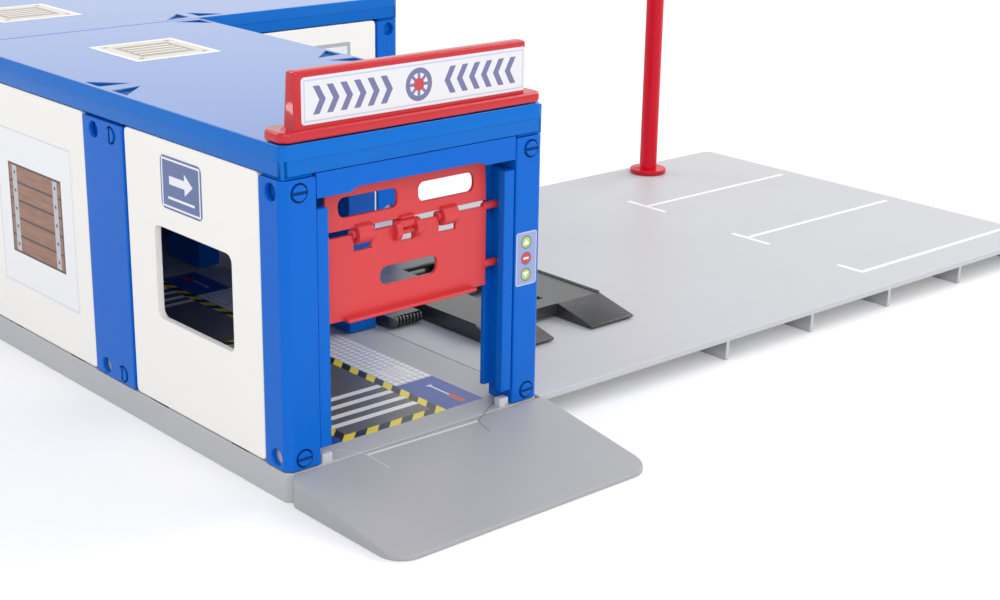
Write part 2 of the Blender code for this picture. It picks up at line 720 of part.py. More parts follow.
def mast_place():
    return YARD_RIGHT - MAST_FROM_RIGHT, 2 * BAY - MAST_FROM_BACK


def lift_pegs(grow=0.0):
    ends = (LIFT_PEG_INSET, LIFT_LENGTH - LIFT_PEG_INSET)
    depth = YARD_THICKNESS - OVERSHOOT / 2
    return [((lift_x(), LIFT_FRONT + y, BASE_HEIGHT - depth),
             (lift_x(), LIFT_FRONT + y, BASE_HEIGHT + SEAT_GAP + LIFT_BASE_THICKNESS / 2),
             LIFT_PEG_RADIUS + grow) for y in ends]


def build_yard_plate():
    low, high = (YARD_LEFT, 0), (YARD_RIGHT, 2 * BAY - SEAM_GAP / 2)
    under = BASE_HEIGHT - YARD_THICKNESS
    yard = box("yard_plate", (*low, under), (*high, BASE_HEIGHT), corners=[(1, -1), (1, 1)],
               chamfer=YARD_EDGE_RADIUS, segments=4)
    starts = [low[0]]
    starts += [low[0] + RIB_START + RIB_PITCH * n for n in range(RIB_COUNT)]
    lengthways = [((x, low[1], 0), (x + RIB_THICKNESS, high[1], under + YARD_THICKNESS / 2))
                  for x in starts]
    join(yard, boxes("yard_ribs", lengthways))
    back = ((low[0], high[1] - RIB_THICKNESS, 0),
            (starts[-1] + RIB_THICKNESS, high[1], under + YARD_THICKNESS / 2))
    join(yard, box("yard_back_rib", *back))
    join(yard, tabs("yard_tabs", yard_tabs()))
    cut(yard, tab_slots("yard_rear_slots", rear_tabs()[1:]))
    mast_x, mast_y = mast_place()
    mast_hole = ((mast_x, mast_y, under - OVERSHOOT), (mast_x, mast_y, BASE_HEIGHT + OVERSHOOT),
                 MAST_PEG_RADIUS + SEAT_GAP)
    holes = [((x, y, under - OVERSHOOT), (x, y, BASE_HEIGHT + OVERSHOOT), radius)
             for (x, y, _), _, radius in lift_pegs(SEAT_GAP)]
    cut(yard, rods("yard_holes", holes + [mast_hole]))
    return finish(yard, PALE_GREY)


def ramp_outline(inset):
    """The ramp seen from above, its two front corners rounder than those behind."""
    middle, half = BAY / 2 + RAMP_SHIFT, RAMP_WIDTH / 2 - inset
    front, back = -RAMP_LENGTH + inset, -SEAM_GAP - inset
    near, far = RAMP_RADIUS - inset, RAMP_BACK_RADIUS - inset
    points = []
    for side, radius, y, start in ((-1, near, front + near, 180), (1, near, front + near, 270),
                                   (1, far, back - far, 0), (-1, far, back - far, 90)):
        x = middle + side * (half - radius)
        points += [(x + a, y + b) for a, b in arc(radius, start, start + 90, 6)]
    return points


def above_slope(name, drop):
    """Everything over the ramp's sloping face, lowered by drop."""
    back, top = -SEAM_GAP, BASE_HEIGHT - RAMP_TOP_DROP - drop
    slope = (BASE_HEIGHT - RAMP_TOP_DROP - RAMP_TOE) / (RAMP_LENGTH + back)
    front = -RAMP_LENGTH - OVERSHOOT
    low = RAMP_TOE - drop - slope * OVERSHOOT
    high = BASE_HEIGHT + 2 * OVERSHOOT
    outline = [(front, low), (back, top), (back + OVERSHOOT, top), (back + OVERSHOOT, high),
               (front, high)]
    middle, half = BAY / 2 + RAMP_SHIFT, RAMP_WIDTH / 2 + OVERSHOOT
    return plate(name, [outline], "YZ", middle - half, middle + half)


def build_entry_ramp():
    ramp = plate("entry_ramp", [ramp_outline(0)], "XY", 0, BASE_HEIGHT)
    cut(ramp, above_slope("ramp_slope", 0))
    hollow = plate("ramp_hollow", [ramp_outline(RAMP_WALL)], "XY", -OVERSHOOT, BASE_HEIGHT)
    cut(hollow, above_slope("ramp_hollow_slope", RAMP_WALL))
    cut(ramp, hollow)
    join(ramp, tabs("ramp_tabs", ramp_tabs()))
    return finish(ramp, GREY)


def lean_in(piece, low, high, sides):
    """Moves the top edge of a box inwards by the fascia's slant, on the sides given."""
    reach = POST_CHAMFER + OVERSHOOT / 10
    for vertex in piece.data.vertices:
        if vertex.co.z < ROOF_TOP - OVERSHOOT:
            continue
        x, y = vertex.co.x, vertex.co.y
        if "-x" in sides and x - low[0] < reach:
            vertex.co.x += FASCIA_SLANT
        if "+x" in sides and high[0] - x < reach:
            vertex.co.x -= FASCIA_SLANT
        if "-y" in sides and y - low[1] < reach:
            vertex.co.y += FASCIA_SLANT
        if "+y" in sides and high[1] - y < reach:
            vertex.co.y -= FASCIA_SLANT


def build_roof(name, low, high, chamfers, leaning):
    step = ROOF_BOTTOM + FASCIA_LOWER_HEIGHT
    roof = box(name, (*low, step), (*high, ROOF_TOP), corners=chamfers, chamfer=POST_CHAMFER)
    lean_in(roof, low, high, leaning)
    inset_low = [value + FASCIA_STEP for value in low]
    inset_high = [value - FASCIA_STEP for value in high]
    join(roof, box(name + "_lower", (*inset_low, ROOF_BOTTOM), (*inset_high, step + OVERSHOOT),
                   corners=chamfers, chamfer=POST_CHAMFER))
    wall = FASCIA_STEP + ROOF_WALL
    inner_low = [value + wall for value in low]
    inner_high = [value - wall for value in high]
    cut(roof, box(name + "_hollow", (*inner_low, ROOF_BOTTOM - OVERSHOOT),
                  (*inner_high, ROOF_TOP - ROOF_SKIN)))
    cells = cells_within(low, high)
    join(roof, boxes(name + "_shoulders",
                     [square(cell, SHOULDER_SIZE, POST_TOP + SEAT_GAP, ROOF_TOP - ROOF_SKIN / 2)
                      for cell in cells]))
    join(roof, boxes(name + "_pegs",
                     [square(cell, spigot_size(), POST_TOP - SPIGOT_HEIGHT,
                             POST_TOP + SEAT_GAP + OVERSHOOT) for cell in cells]))
    holes = shank_holes(name + "_bolt_holes", low, high, POST_TOP - SPIGOT_HEIGHT, POST_TOP)
    return cut(roof, holes) if holes else roof


def clip_slot(edge_x, side, line_y, way):
    """A three-sided slot beside a roof edge; side and way point inwards and along."""
    points = [(CLIP_EDGE, CLIP_NEAR), (CLIP_EDGE, CLIP_FAR), (CLIP_REACH, CLIP_APEX)]
    outline = [(edge_x + side * a, line_y + way * b) for a, b in points]
    return outline if side * way > 0 else outline[::-1]


def clip_slots(name, outlines):
    return plate(name, outlines, "XY", ROOF_TOP - CLIP_DEPTH, ROOF_TOP + OVERSHOOT)


def build_main_roof():
    low, high = (0, 0), (BAY, 2 * BAY - SEAM_GAP / 2)
    roof = build_roof("main_roof", low, high, [(-1, -1), (1, -1)], ["-x", "+x", "-y"])
    slots = [clip_slot(x, side, BAY, way) for x, side in ((0, 1), (BAY, -1)) for way in (-1, 1)]
    slots += [clip_slot(x, side, 2 * BAY, -1) for x, side in ((0, 1), (BAY, -1))]
    cut(roof, clip_slots("main_roof_slots", slots))
    cut(roof, boxes("main_roof_sign_slots", sign_pegs(SEAT_GAP)))
    return finish(roof, BLUE)


def build_rear_roof():
    low, high = (0, 2 * BAY + SEAM_GAP / 2), (2 * BAY, 3 * BAY)
    roof = build_roof("rear_roof", low, high, [(-1, 1), (1, 1), (1, -1)], ["-x", "+x", "+y"])
    slots = [clip_slot(x, side, 2 * BAY, 1) for x, side in ((0, 1), (BAY, -1), (BAY, 1))]
    cut(roof, clip_slots("rear_roof_slots", slots))
    return finish(roof, BLUE)


def build_lintel():
    left, right = POST_WIDTH + SEAT_GAP, BAY - POST_WIDTH - SEAT_GAP
    top = ROOF_BOTTOM - SEAT_GAP
    middle = ROOF_BOTTOM - PANEL_TOP_GAP - LINTEL_DROP
    lug = middle - LINTEL_LUG_DROP
    a, b = left + LINTEL_LUG_LENGTH, right - LINTEL_LUG_LENGTH
    outline = [(left, lug), (a, lug), (a + LINTEL_SLANT, middle), (b - LINTEL_SLANT, middle),
               (b, lug), (right, lug), (right, top), (left, top)]
    return finish(plate("door_lintel", [outline], "XZ", LINTEL_FACE,
                        LINTEL_FACE + LINTEL_THICKNESS), BLUE)


def sign_pegs(grow=0.0):
    spans = []
    for x in (BAY / 2 - SIGN_PEG_SPACING, BAY / 2 + SIGN_PEG_SPACING):
        spans.append(((x - SIGN_PEG_WIDTH / 2 - grow, SIGN_PEG_FRONT - grow,
                       ROOF_TOP - SIGN_PEG_DEPTH - grow),
                      (x + SIGN_PEG_WIDTH / 2 + grow, SIGN_PEG_FRONT + SIGN_PEG_DEPTH + grow,
                       ROOF_TOP + SEAT_GAP + OVERSHOOT)))
    return spans


def build_roof_sign():
    bottom = ROOF_TOP + SEAT_GAP
    shoulder = bottom + SIGN_BASE_HEIGHT
    top = shoulder + SIGN_HEIGHT
    sign = box("roof_sign", (SIGN_BASE_INSET, SIGN_BASE_FRONT, bottom),
               (BAY - SIGN_BASE_INSET, SIGN_BASE_FRONT + SIGN_BASE_DEPTH, shoulder),
               corners=[(-1, -1), (1, -1), (-1, 1), (1, 1)], chamfer=POST_CHAMFER)
    root = shoulder - OVERSHOOT
    profile = [(SIGN_FACE, root), (SIGN_FACE + SIGN_DEPTH_BOTTOM, root),
               (SIGN_FACE + SIGN_DEPTH_TOP, top), (SIGN_FACE, top)]
    board = plate("sign_board", [profile], "YZ", SIGN_INSET, BAY - SIGN_INSET)
    join(sign, board)
    cavity = box("sign_hollow", (SIGN_INSET + SIGN_WALL, SIGN_FACE + SIGN_WALL, bottom - OVERSHOOT),
                 (BAY - SIGN_INSET - SIGN_WALL, SIGN_FACE + SIGN_DEPTH_TOP - SIGN_WALL,
                  top - SIGN_WALL))
    cut(sign, cavity)
    join(sign, boxes("sign_pegs", sign_pegs()))
    return finish(sign, RED)


def build_mast():
    x, y = mast_place()
    foot = BASE_HEIGHT + SEAT_GAP
    top = BASE_HEIGHT + MAST_HEIGHT
    pole = rods("mast_pole", [((x, y, foot), (x, y, top), MAST_RADIUS)], sides=MAST_SIDES)
    join(pole, rods("mast_flange", [((x, y, foot), (x, y, foot + MAST_FLANGE_HEIGHT),
                                     MAST_FLANGE_RADIUS)], sides=MAST_SIDES))
    ends = [((x, y, BASE_HEIGHT - YARD_THICKNESS), (x, y, foot + OVERSHOOT), MAST_PEG_RADIUS),
            ((x, y, top - OVERSHOOT), (x, y, top + MAST_NECK_HEIGHT), MAST_NECK_RADIUS)]
    join(pole, rods("mast_ends", ends))
    return finish(pole, RED)


def build_mast_sign():
    x, y = mast_place()
    bottom = BASE_HEIGHT + MAST_HEIGHT + SEAT_GAP
    outline = rounded((x - MAST_SIGN_WIDTH / 2, bottom),
                      (x + MAST_SIGN_WIDTH / 2, bottom + MAST_SIGN_HEIGHT), MAST_SIGN_RADIUS)
    sign = plate("mast_sign", [outline], "XZ", y - MAST_SIGN_DEPTH / 2, y + MAST_SIGN_DEPTH / 2)
    socket = ((x, y, bottom - OVERSHOOT), (x, y, bottom + MAST_NECK_HEIGHT + SEAT_GAP),
              MAST_NECK_RADIUS + SEAT_GAP)
    return finish(cut(sign, rods("mast_sign_socket", [socket])), RED)


def channel_spans(mirror, low_z, high_z, lips):
    """The rail's web and lips in plan; mirror is the right-hand rail."""
    front = DOOR_PLANE - CHANNEL_WIDTH / 2
    back = DOOR_PLANE + CHANNEL_WIDTH / 2
    near = POST_WIDTH + SEAT_GAP
    spans = {
        "web": (near, RAIL_FRONT, near + RAIL_WEB, back + RAIL_LIP),
        "front": (near + RAIL_WEB / 2, RAIL_FRONT, near + RAIL_WIDTH, front),
        "back": (near + RAIL_WEB / 2, back, near + RAIL_WIDTH, back + RAIL_LIP),
    }
    found = []
    for lip in lips:
        x0, y0, x1, y1 = spans[lip]
        if mirror:
            x0, x1 = BAY - x1, BAY - x0
        found.append(((x0, y0, low_z), (x1, y1, high_z)))
    return found


def far_pin(opening):
    """Where the top section's far pin is, from 0 closed to 1 open, in Y and Z."""
    lean, fold = MIDDLE_TILT_ANGLE * opening, TOP_TILT_ANGLE * opening
    y = DOOR_PLANE + SECTION_PITCH * math.sin(lean) + TOP_PIN_RISE * math.sin(fold)
    z = (CLOSED_AXIS + DOOR_TRAVEL * opening + SECTION_PITCH * math.cos(lean)
         + TOP_PIN_RISE * math.cos(fold))
    return Vector((y, z))


def guide_edge(offset):
    """The pins' path moved towards the building's rear and floor, up to its level tail."""
    points = []
    for step in range(GUIDE_STEPS + 1):
        opening = GUIDE_START_RATIO + (GUIDE_END_RATIO - GUIDE_START_RATIO) * step / GUIDE_STEPS
        along = (far_pin(opening + 0.01) - far_pin(opening - 0.01)).normalized()
        point = far_pin(opening) + offset * Vector((along.y, -along.x))
        points.append((point.x, point.y))
    level = far_pin(1).y - offset
    points.append((far_pin(1).x + GUIDE_TAIL, level))
    return points


def build_rail(name, mirror):
    bottom = BASE_HEIGHT + RAIL_BOTTOM
    top = bottom + RAIL_LENGTH
    (low, high), = channel_spans(mirror, bottom, top, ["web"])
    rail = box(name, low, high)
    join(rail, boxes(name + "_lips", channel_spans(mirror, bottom, top, ["front", "back"])))
    upper = guide_edge(PIN_RADIUS + GUIDE_CLEARANCE)
    lower = guide_edge(PIN_RADIUS + GUIDE_CLEARANCE + GUIDE_THICKNESS)
    back = DOOR_PLANE + CHANNEL_WIDTH / 2
    outline = [(back, top - OVERSHOOT), (back, upper[0][1]), *upper, *lower[::-1],
               (back + RAIL_LIP, lower[0][1] - OVERSHOOT), (back + RAIL_LIP, top - OVERSHOOT)]
    near, far = POST_WIDTH + SEAT_GAP, POST_WIDTH + SEAT_GAP + RAIL_WIDTH
    span = (BAY - far, BAY - near) if mirror else (near, far)
    join(rail, plate(name + "_guide", [outline], "YZ", *span))
    return finish(rail, BLUE)


def hook_places():
    """Middle, width and open side of each hook; the one in the middle opens to the front."""
    return [(HOOK_SHIFT - HOOK_SPACING, HOOK_WIDTH, 0), (HOOK_SHIFT, CENTRE_HOOK_WIDTH, 180),
            (HOOK_SHIFT + HOOK_SPACING, HOOK_WIDTH, 0)]


def hook_radius():
    return HINGE_BAR_RADIUS + HINGE_CLEARANCE + HOOK_WALL


def hook_outline(turn):
    """A ring that is open on one side."""
    start, end = turn + HOOK_OPENING_ANGLE / 2, turn + 360 - HOOK_OPENING_ANGLE / 2
    outer = arc(hook_radius(), start, end, HOOK_STEPS)
    inner = arc(HINGE_BAR_RADIUS + HINGE_CLEARANCE, start, end, HOOK_STEPS)
    return outer + inner[::-1]


def add_hooks(leaf, frame):
    """Hooks under a section, round the bars of the section below."""
    for number, (x, width, turn) in enumerate(hook_places()):
        hook = plate(f"{leaf.name}_hook_{number}", [hook_outline(turn)], "YZ", x - width / 2,
                     x + width / 2, parent=frame)
        join(leaf, hook)


def add_cheeks(leaf, frame, axis):
    """Two half discs on the front, beside the bar in the middle."""
    x, width, _ = hook_places()[1]
    front = arc(hook_radius(), 90, 270, HOOK_STEPS)
    outline = [(a, axis - CHEEK_DROP + b) for a, b in front]
    for side in (-1, 1):
        near = x + side * (width / 2 + HOOK_POCKET)
        far = near + side * CHEEK_WIDTH
        join(leaf, plate(f"{leaf.name}_cheek_{side + 1}", [outline], "YZ", min(near, far),
                         max(near, far), parent=frame))


def add_bars(leaf, frame, axis):
    """Pockets in a section's upper edge, with the bars that the hooks turn on."""
    depth = hook_radius() + POCKET_DROP
    pockets = []
    bars = []
    for x, width, _ in hook_places():
        half = width / 2 + HOOK_POCKET
        pockets.append(((x - half, -LEAF_THICKNESS, axis - depth),
                        (x + half, LEAF_THICKNESS, axis + EDGE_ABOVE_AXIS + OVERSHOOT)))
        bars.append(((x - half - BAR_ROOT, 0, axis), (x + half + BAR_ROOT, 0, axis),
                     HINGE_BAR_RADIUS))
    add_cheeks(leaf, frame, axis)
    cut(leaf, boxes(leaf.name + "_pockets", pockets, parent=frame))
    join(leaf, rods(leaf.name + "_bars", bars, parent=frame, sides=12))


def add_pins(leaf, frame, heights):
    near = POST_WIDTH + SEAT_GAP + RAIL_WEB + PIN_END_GAP
    reach = BAY / 2 - near
    spans = []
    for z in heights:
        for side in (-1, 1):
            spans.append(((side * (DOOR_WIDTH / 2 - PIN_ROOT), 0, z), (side * reach, 0, z),
                          PIN_RADIUS))
    join(leaf, rods(leaf.name + "_pins", spans, parent=frame, sides=12))


def leaf_box(name, frame, low_z, high_z):
    return box(name, (-DOOR_WIDTH / 2, -LEAF_THICKNESS / 2, low_z),
               (DOOR_WIDTH / 2, LEAF_THICKNESS / 2, high_z), parent=frame)


def slots(name, frame, centres, z, height):
    """Slots with round corners through a door section."""
    outlines = [rounded((x - SLOT_WIDTH / 2, z - height / 2), (x + SLOT_WIDTH / 2, z + height / 2),
                        SLOT_RADIUS, 4) for x in centres]
    return plate(name, outlines, "XZ", -LEAF_THICKNESS, LEAF_THICKNESS, parent=frame)


def build_door():
    """Three hinged sections, shown raised, the top one folded back under the roof."""
    lower = empty("door_lower_axis", (BAY / 2, DOOR_PLANE, CLOSED_AXIS + DOOR_TRAVEL), grid)
    middle = empty("door_middle_axis", (0, 0, 0), lower, MIDDLE_TILT_ANGLE)
    upper = empty("door_upper_axis", (0, 0, SECTION_PITCH), middle, TOP_TILT_ANGLE - MIDDLE_TILT_ANGLE)

    bottom = leaf_box("door_bottom_section", lower, -LOWEST_AXIS, EDGE_ABOVE_AXIS)
    cut(bottom, slots("door_pull_slot", lower, [0], PULL_SLOT_RISE - LOWEST_AXIS, SLOT_HEIGHT))
    front = -LEAF_THICKNESS / 2
    grip = ((-GRIP_LENGTH / 2, front - GRIP_DEPTH, -LOWEST_AXIS),
            (GRIP_LENGTH / 2, front + LEAF_THICKNESS / 2, GRIP_THICKNESS - LOWEST_AXIS))
    join(bottom, box("door_grip", *grip, parent=lower))
    add_bars(bottom, lower, 0)
    add_pins(bottom, lower, [0, LOWER_PIN_RISE - LOWEST_AXIS])
    finish(bottom, RED)

    section = leaf_box("door_middle_section", middle, EDGE_BELOW_NEXT,
                       SECTION_PITCH + EDGE_ABOVE_AXIS)
    cut(section, slots("door_light_slots", middle, [-LIGHT_SPACING, LIGHT_SPACING], LIGHT_RISE,
                       LIGHT_HEIGHT))
    add_hooks(section, middle)
    add_bars(section, middle, SECTION_PITCH)
    add_pins(section, middle, [SECTION_PITCH])
    finish(section, RED)

    top = leaf_box("door_top_section", upper, EDGE_BELOW_NEXT, TOP_SECTION_LENGTH)
    add_hooks(top, upper)
    add_pins(top, upper, [TOP_PIN_RISE])
    finish(top, RED)


def stadium(start, end, radius):
    """Outline of a bar with round ends, between two points in Y and Z, start in front."""
    (y0, z), (y1, _) = start, end
    front = [(y0 + a, z + b) for a, b in arc(radius, 90, 270, 8)]
    back = [(y1 + a, z + b) for a, b in arc(radius, -90, 90, 8)]
    return front + back


def lift_place(y, z=0.0):
    """A spot beside the lift's centre line, from its front edge and the yard's surface."""
    return Vector((lift_x(), LIFT_FRONT + y, BASE_HEIGHT + z))


def offsets(near, width):
    """The same span on both sides of the centre line."""
    return [(-near - width, -near), (near, near + width)]


def build_lift_base():
    frame = empty("lift_base_frame", lift_place(0), grid)
    half = RUNWAY_INNER + RUNWAY_WIDTH - RUNWAY_WALL - LIFT_BASE_SIDE_GAP
    back = LIFT_LENGTH - RUNWAY_WALL - LIFT_BASE_SIDE_GAP
    top = SEAT_GAP + LIFT_BASE_THICKNESS
    base = box("lift_base", (-half, LIFT_BASE_FRONT, SEAT_GAP), (half, back, top), parent=frame)
    ears = []
    for y in (DRIVE_PIVOT, IDLER_PIVOT):
        for x0, x1 in offsets(EAR_OFFSET, EAR_THICKNESS):
            ears.append(((x0, y - EAR_WIDTH / 2, top - LIFT_BASE_THICKNESS / 2),
                         (x1, y + EAR_WIDTH / 2, ARM_PIVOT_RISE + EAR_RISE)))
    join(base, boxes("lift_base_ears", ears, parent=frame))
    join(base, rods("lift_base_pegs", lift_pegs()))
    holes = []
    for y, radius in ((DRIVE_PIVOT, SHAFT_RADIUS), (IDLER_PIVOT, STUB_RADIUS)):
        for x0, x1 in offsets(EAR_OFFSET, EAR_THICKNESS):
            holes.append(((x0 - OVERSHOOT, y, ARM_PIVOT_RISE), (x1 + OVERSHOOT, y, ARM_PIVOT_RISE),
                          radius + SHAFT_CLEARANCE))
    cut(base, rods("lift_base_holes", holes, parent=frame))
    return finish(base, BLACK)


def arm_outline():
    return stadium((-ARM_LENGTH, 0), (0, 0), ARM_RADIUS)


def lever_corner(frame, x, y):
    """What is left outside the lever's round corner, seen from above."""
    radius = LEVER_CORNER_RADIUS
    curve = [(x + radius + a, y + radius + b) for a, b in arc(radius, 180, 270, 6)]
    outline = [(x - OVERSHOOT, y + radius), *curve, (x + radius, y - OVERSHOOT),
               (x - OVERSHOOT, y - OVERSHOOT)]
    return plate("lever_corner", [outline], "XY", -LEVER_RADIUS - OVERSHOOT,
                 LEVER_RADIUS + OVERSHOOT, parent=frame)


def build_lift_drive():
    """The front pair of arms, their shaft and the lever beside the lift."""
    frame = empty("lift_drive_axis", lift_place(DRIVE_PIVOT, ARM_PIVOT_RISE), grid)
    side = RUNWAY_INNER + RUNWAY_WIDTH + LEVER_SIDE_GAP
    reach = LEVER_LENGTH - LEVER_RADIUS
    drive = plate("lift_drive_arms", [stadium((-reach, 0), (0, 0), LEVER_RADIUS)], "YZ",
                  -side - LEVER_WIDTH, -side, parent=frame)
    for number, (x0, x1) in enumerate(offsets(DRIVE_ARM_OFFSET, ARM_WIDTH)):
        join(drive, plate(f"drive_arm_{number}", [arm_outline()], "YZ", x0, x1, parent=frame))
    far = DRIVE_ARM_OFFSET + ARM_WIDTH / 2
    join(drive, rods("drive_shaft", [((-side - LEVER_WIDTH / 2, 0, 0), (far, 0, 0),
                                      SHAFT_RADIUS)], parent=frame))
    stubs = []
    for sign in (-1, 1):
        stubs.append(((sign * (DRIVE_ARM_OFFSET + OVERSHOOT), -ARM_LENGTH, 0),
                      (sign * (EAR_OFFSET - STUB_END), -ARM_LENGTH, 0), STUB_RADIUS))
    join(drive, rods("drive_stubs", stubs, parent=frame))
    grooves = []
    for n in range(LEVER_RIB_COUNT):
        x = -side - LEVER_RIB_PITCH * (n + 0.5)
        grooves.append(((x - LEVER_RIB_WIDTH, -LEVER_LENGTH - OVERSHOOT, -LEVER_RADIUS - OVERSHOOT),
                        (x, LEVER_RIB_DEPTH - LEVER_LENGTH, LEVER_RADIUS + OVERSHOOT)))
    cut(drive, lever_corner(frame, -side - LEVER_WIDTH, -LEVER_LENGTH))
    cut(drive, boxes("lever_grooves", grooves, parent=frame))
    return finish(drive, BLACK)


def build_lift_idler():
    """The rear pair of arms and the shaft between them."""
    frame = empty("lift_idler_axis", lift_place(IDLER_PIVOT, ARM_PIVOT_RISE), grid)
    middle = IDLER_ARM_OFFSET + ARM_WIDTH / 2
    idler = rods("lift_idler_arms", [((-middle, 0, 0), (middle, 0, 0), SHAFT_RADIUS)],
                 parent=frame)
    for number, (x0, x1) in enumerate(offsets(IDLER_ARM_OFFSET, ARM_WIDTH)):
        join(idler, plate(f"idler_arm_{number}", [arm_outline()], "YZ", x0, x1, parent=frame))
    stubs = []
    for sign in (-1, 1):
        for y in (0, -ARM_LENGTH):
            stubs.append(((sign * middle, y, 0),
                          (sign * (EAR_OFFSET + EAR_THICKNESS + STUB_END), y, 0), STUB_RADIUS))
    join(idler, rods("idler_stubs", stubs, parent=frame))
    return finish(idler, BLACK)


def runway_profile():
    low, high = LIFT_FLOOR_GAP, RUNWAY_HEIGHT
    return [(0, low), (LIFT_LENGTH, low), (LIFT_LENGTH, high), (LIFT_RAMP_LENGTH, high),
            (0, low + LIFT_RAMP_TOE)]


def runway_hollow():
    rise = RUNWAY_HEIGHT - LIFT_FLOOR_GAP - LIFT_RAMP_TOE
    slope = rise / LIFT_RAMP_LENGTH
    drop = RUNWAY_WALL * math.hypot(1, slope)
    under = RUNWAY_HEIGHT - RUNWAY_WALL
    low = LIFT_FLOOR_GAP - OVERSHOOT
    start = LIFT_FLOOR_GAP + LIFT_RAMP_TOE - drop
    back = LIFT_LENGTH - RUNWAY_WALL
    return [((low - start) / slope, low), (back, low), (back, under),
            ((under - start) / slope, under)]


def platform_cuts(frame):
    """Room under the runways' sides for the base, the shafts and their lift-off."""
    inner = RUNWAY_INNER - OVERSHOOT
    beyond = RUNWAY_INNER + RUNWAY_WIDTH + OVERSHOOT
    reach = SHAFT_RADIUS + NOTCH_CLEARANCE
    top = ARM_PIVOT_RISE + reach
    low = LIFT_FLOOR_GAP - OVERSHOOT
    base_top = SEAT_GAP + LIFT_BASE_THICKNESS + NOTCH_CLEARANCE
    wall = RUNWAY_INNER + RUNWAY_WALL + OVERSHOOT
    under_base = [((x0, LIFT_BASE_FRONT - LIFT_BASE_SIDE_GAP, low),
                   (x1, LIFT_LENGTH - RUNWAY_WALL, base_top))
                  for x0, x1 in offsets(inner, wall - inner)]
    notches = [((-beyond, DRIVE_PIVOT - reach, low), (wall, DRIVE_PIVOT + reach, top)),
               ((-wall, IDLER_PIVOT - reach, low), (wall, IDLER_PIVOT + reach, top))]
    return [boxes("platform_base_room", under_base, parent=frame),
            boxes("platform_shaft_room", notches, parent=frame)]


def build_lift_platform():
    frame = empty("lift_platform_frame", lift_place(0), grid)
    (x0, x1), (x2, x3) = offsets(RUNWAY_INNER, RUNWAY_WIDTH)
    platform = plate("lift_platform", [runway_profile()], "YZ", x0, x1, parent=frame)
    join(platform, plate("second_runway", [runway_profile()], "YZ", x2, x3, parent=frame))
    beams = []
    for y in (CROSSBEAM_FRONT, LIFT_LENGTH - CROSSBEAM_BACK - CROSSBEAM_WIDTH):
        beams.append(((x1 - RUNWAY_WALL / 2, y, RUNWAY_HEIGHT - CROSSBEAM_THICKNESS),
                      (x2 + RUNWAY_WALL / 2, y + CROSSBEAM_WIDTH, RUNWAY_HEIGHT)))
    join(platform, boxes("platform_crossbeams", beams, parent=frame))
    web = ((x1 - RUNWAY_WALL / 2, CROSSBEAM_FRONT, RUNWAY_HEIGHT - FRONT_BEAM_HEIGHT),
           (x2 + RUNWAY_WALL / 2, CROSSBEAM_FRONT + RUNWAY_WALL, RUNWAY_HEIGHT - RUNWAY_WALL / 2))
    join(platform, box("platform_front_web", *web, parent=frame))
    lips = []
    for outer, inner in ((x0, x0 + RUNWAY_LIP_WIDTH), (x3 - RUNWAY_LIP_WIDTH, x3)):
        lips.append(((outer, LIFT_RAMP_LENGTH, RUNWAY_HEIGHT - RUNWAY_WALL / 2),
                     (inner, LIFT_LENGTH, RUNWAY_HEIGHT + RUNWAY_LIP_HEIGHT)))
    join(platform, boxes("platform_lips", lips, parent=frame))
    for number, (a, b) in enumerate(((x0, x1), (x2, x3))):
        cut(platform, plate(f"runway_hollow_{number}", [runway_hollow()], "YZ",
                            a + RUNWAY_WALL, b - RUNWAY_WALL, parent=frame))
    cut(platform, *platform_cuts(frame))
    ears = []
    holes = []
    for y in (DRIVE_PIVOT - ARM_LENGTH, IDLER_PIVOT - ARM_LENGTH):
        for a, b in offsets(EAR_OFFSET, EAR_THICKNESS):
            ears.append(((a, y - EAR_WIDTH / 2, ARM_PIVOT_RISE - STUB_RADIUS),
                         (b, y + EAR_WIDTH / 2, RUNWAY_HEIGHT - RUNWAY_WALL / 2)))
            holes.append(((a - OVERSHOOT, y, ARM_PIVOT_RISE), (b + OVERSHOOT, y, ARM_PIVOT_RISE),
                          STUB_RADIUS + SHAFT_CLEARANCE))
    join(platform, boxes("platform_ears", ears, parent=frame))
    cut(platform, rods("platform_ear_holes", holes, parent=frame))
    return finish(platform, BLACK)


def build_all():
    build_workshop_floor()
    build_rear_floor()
    build_yard_plate()
    build_entry_ramp()
    for name in POSTS:
        build_post(name)
    build_bolts()
    for name in PANELS:
        build_panel(name)
    build_lintel()
    build_rail("door_rail_left", False)
    build_rail("door_rail_right", True)
    build_door()
    build_main_roof()
    build_rear_roof()
    build_roof_sign()
    build_lift_base()
    build_lift_drive()
    build_lift_idler()
    build_lift_platform()
    build_mast()
    build_mast_sign()


build_all()
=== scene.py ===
import json
import math

import bmesh
import bpy
from mathutils import Euler, Matrix, Vector


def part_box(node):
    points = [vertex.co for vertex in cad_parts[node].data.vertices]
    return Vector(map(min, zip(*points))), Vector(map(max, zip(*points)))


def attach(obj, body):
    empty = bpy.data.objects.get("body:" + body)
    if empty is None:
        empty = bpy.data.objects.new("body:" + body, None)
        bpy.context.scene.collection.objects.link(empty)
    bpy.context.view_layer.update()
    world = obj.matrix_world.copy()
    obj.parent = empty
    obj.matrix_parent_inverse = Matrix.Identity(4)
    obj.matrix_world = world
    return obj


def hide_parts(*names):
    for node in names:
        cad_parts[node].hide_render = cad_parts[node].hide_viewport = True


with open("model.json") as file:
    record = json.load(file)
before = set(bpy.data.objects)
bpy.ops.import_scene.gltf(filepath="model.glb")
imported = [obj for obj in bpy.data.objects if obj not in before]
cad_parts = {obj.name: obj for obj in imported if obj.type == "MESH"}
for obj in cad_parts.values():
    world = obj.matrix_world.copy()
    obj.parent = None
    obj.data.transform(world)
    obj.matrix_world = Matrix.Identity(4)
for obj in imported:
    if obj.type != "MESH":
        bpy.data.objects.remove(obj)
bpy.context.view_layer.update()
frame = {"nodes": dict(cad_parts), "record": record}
record = frame["record"]
mm = 0.001
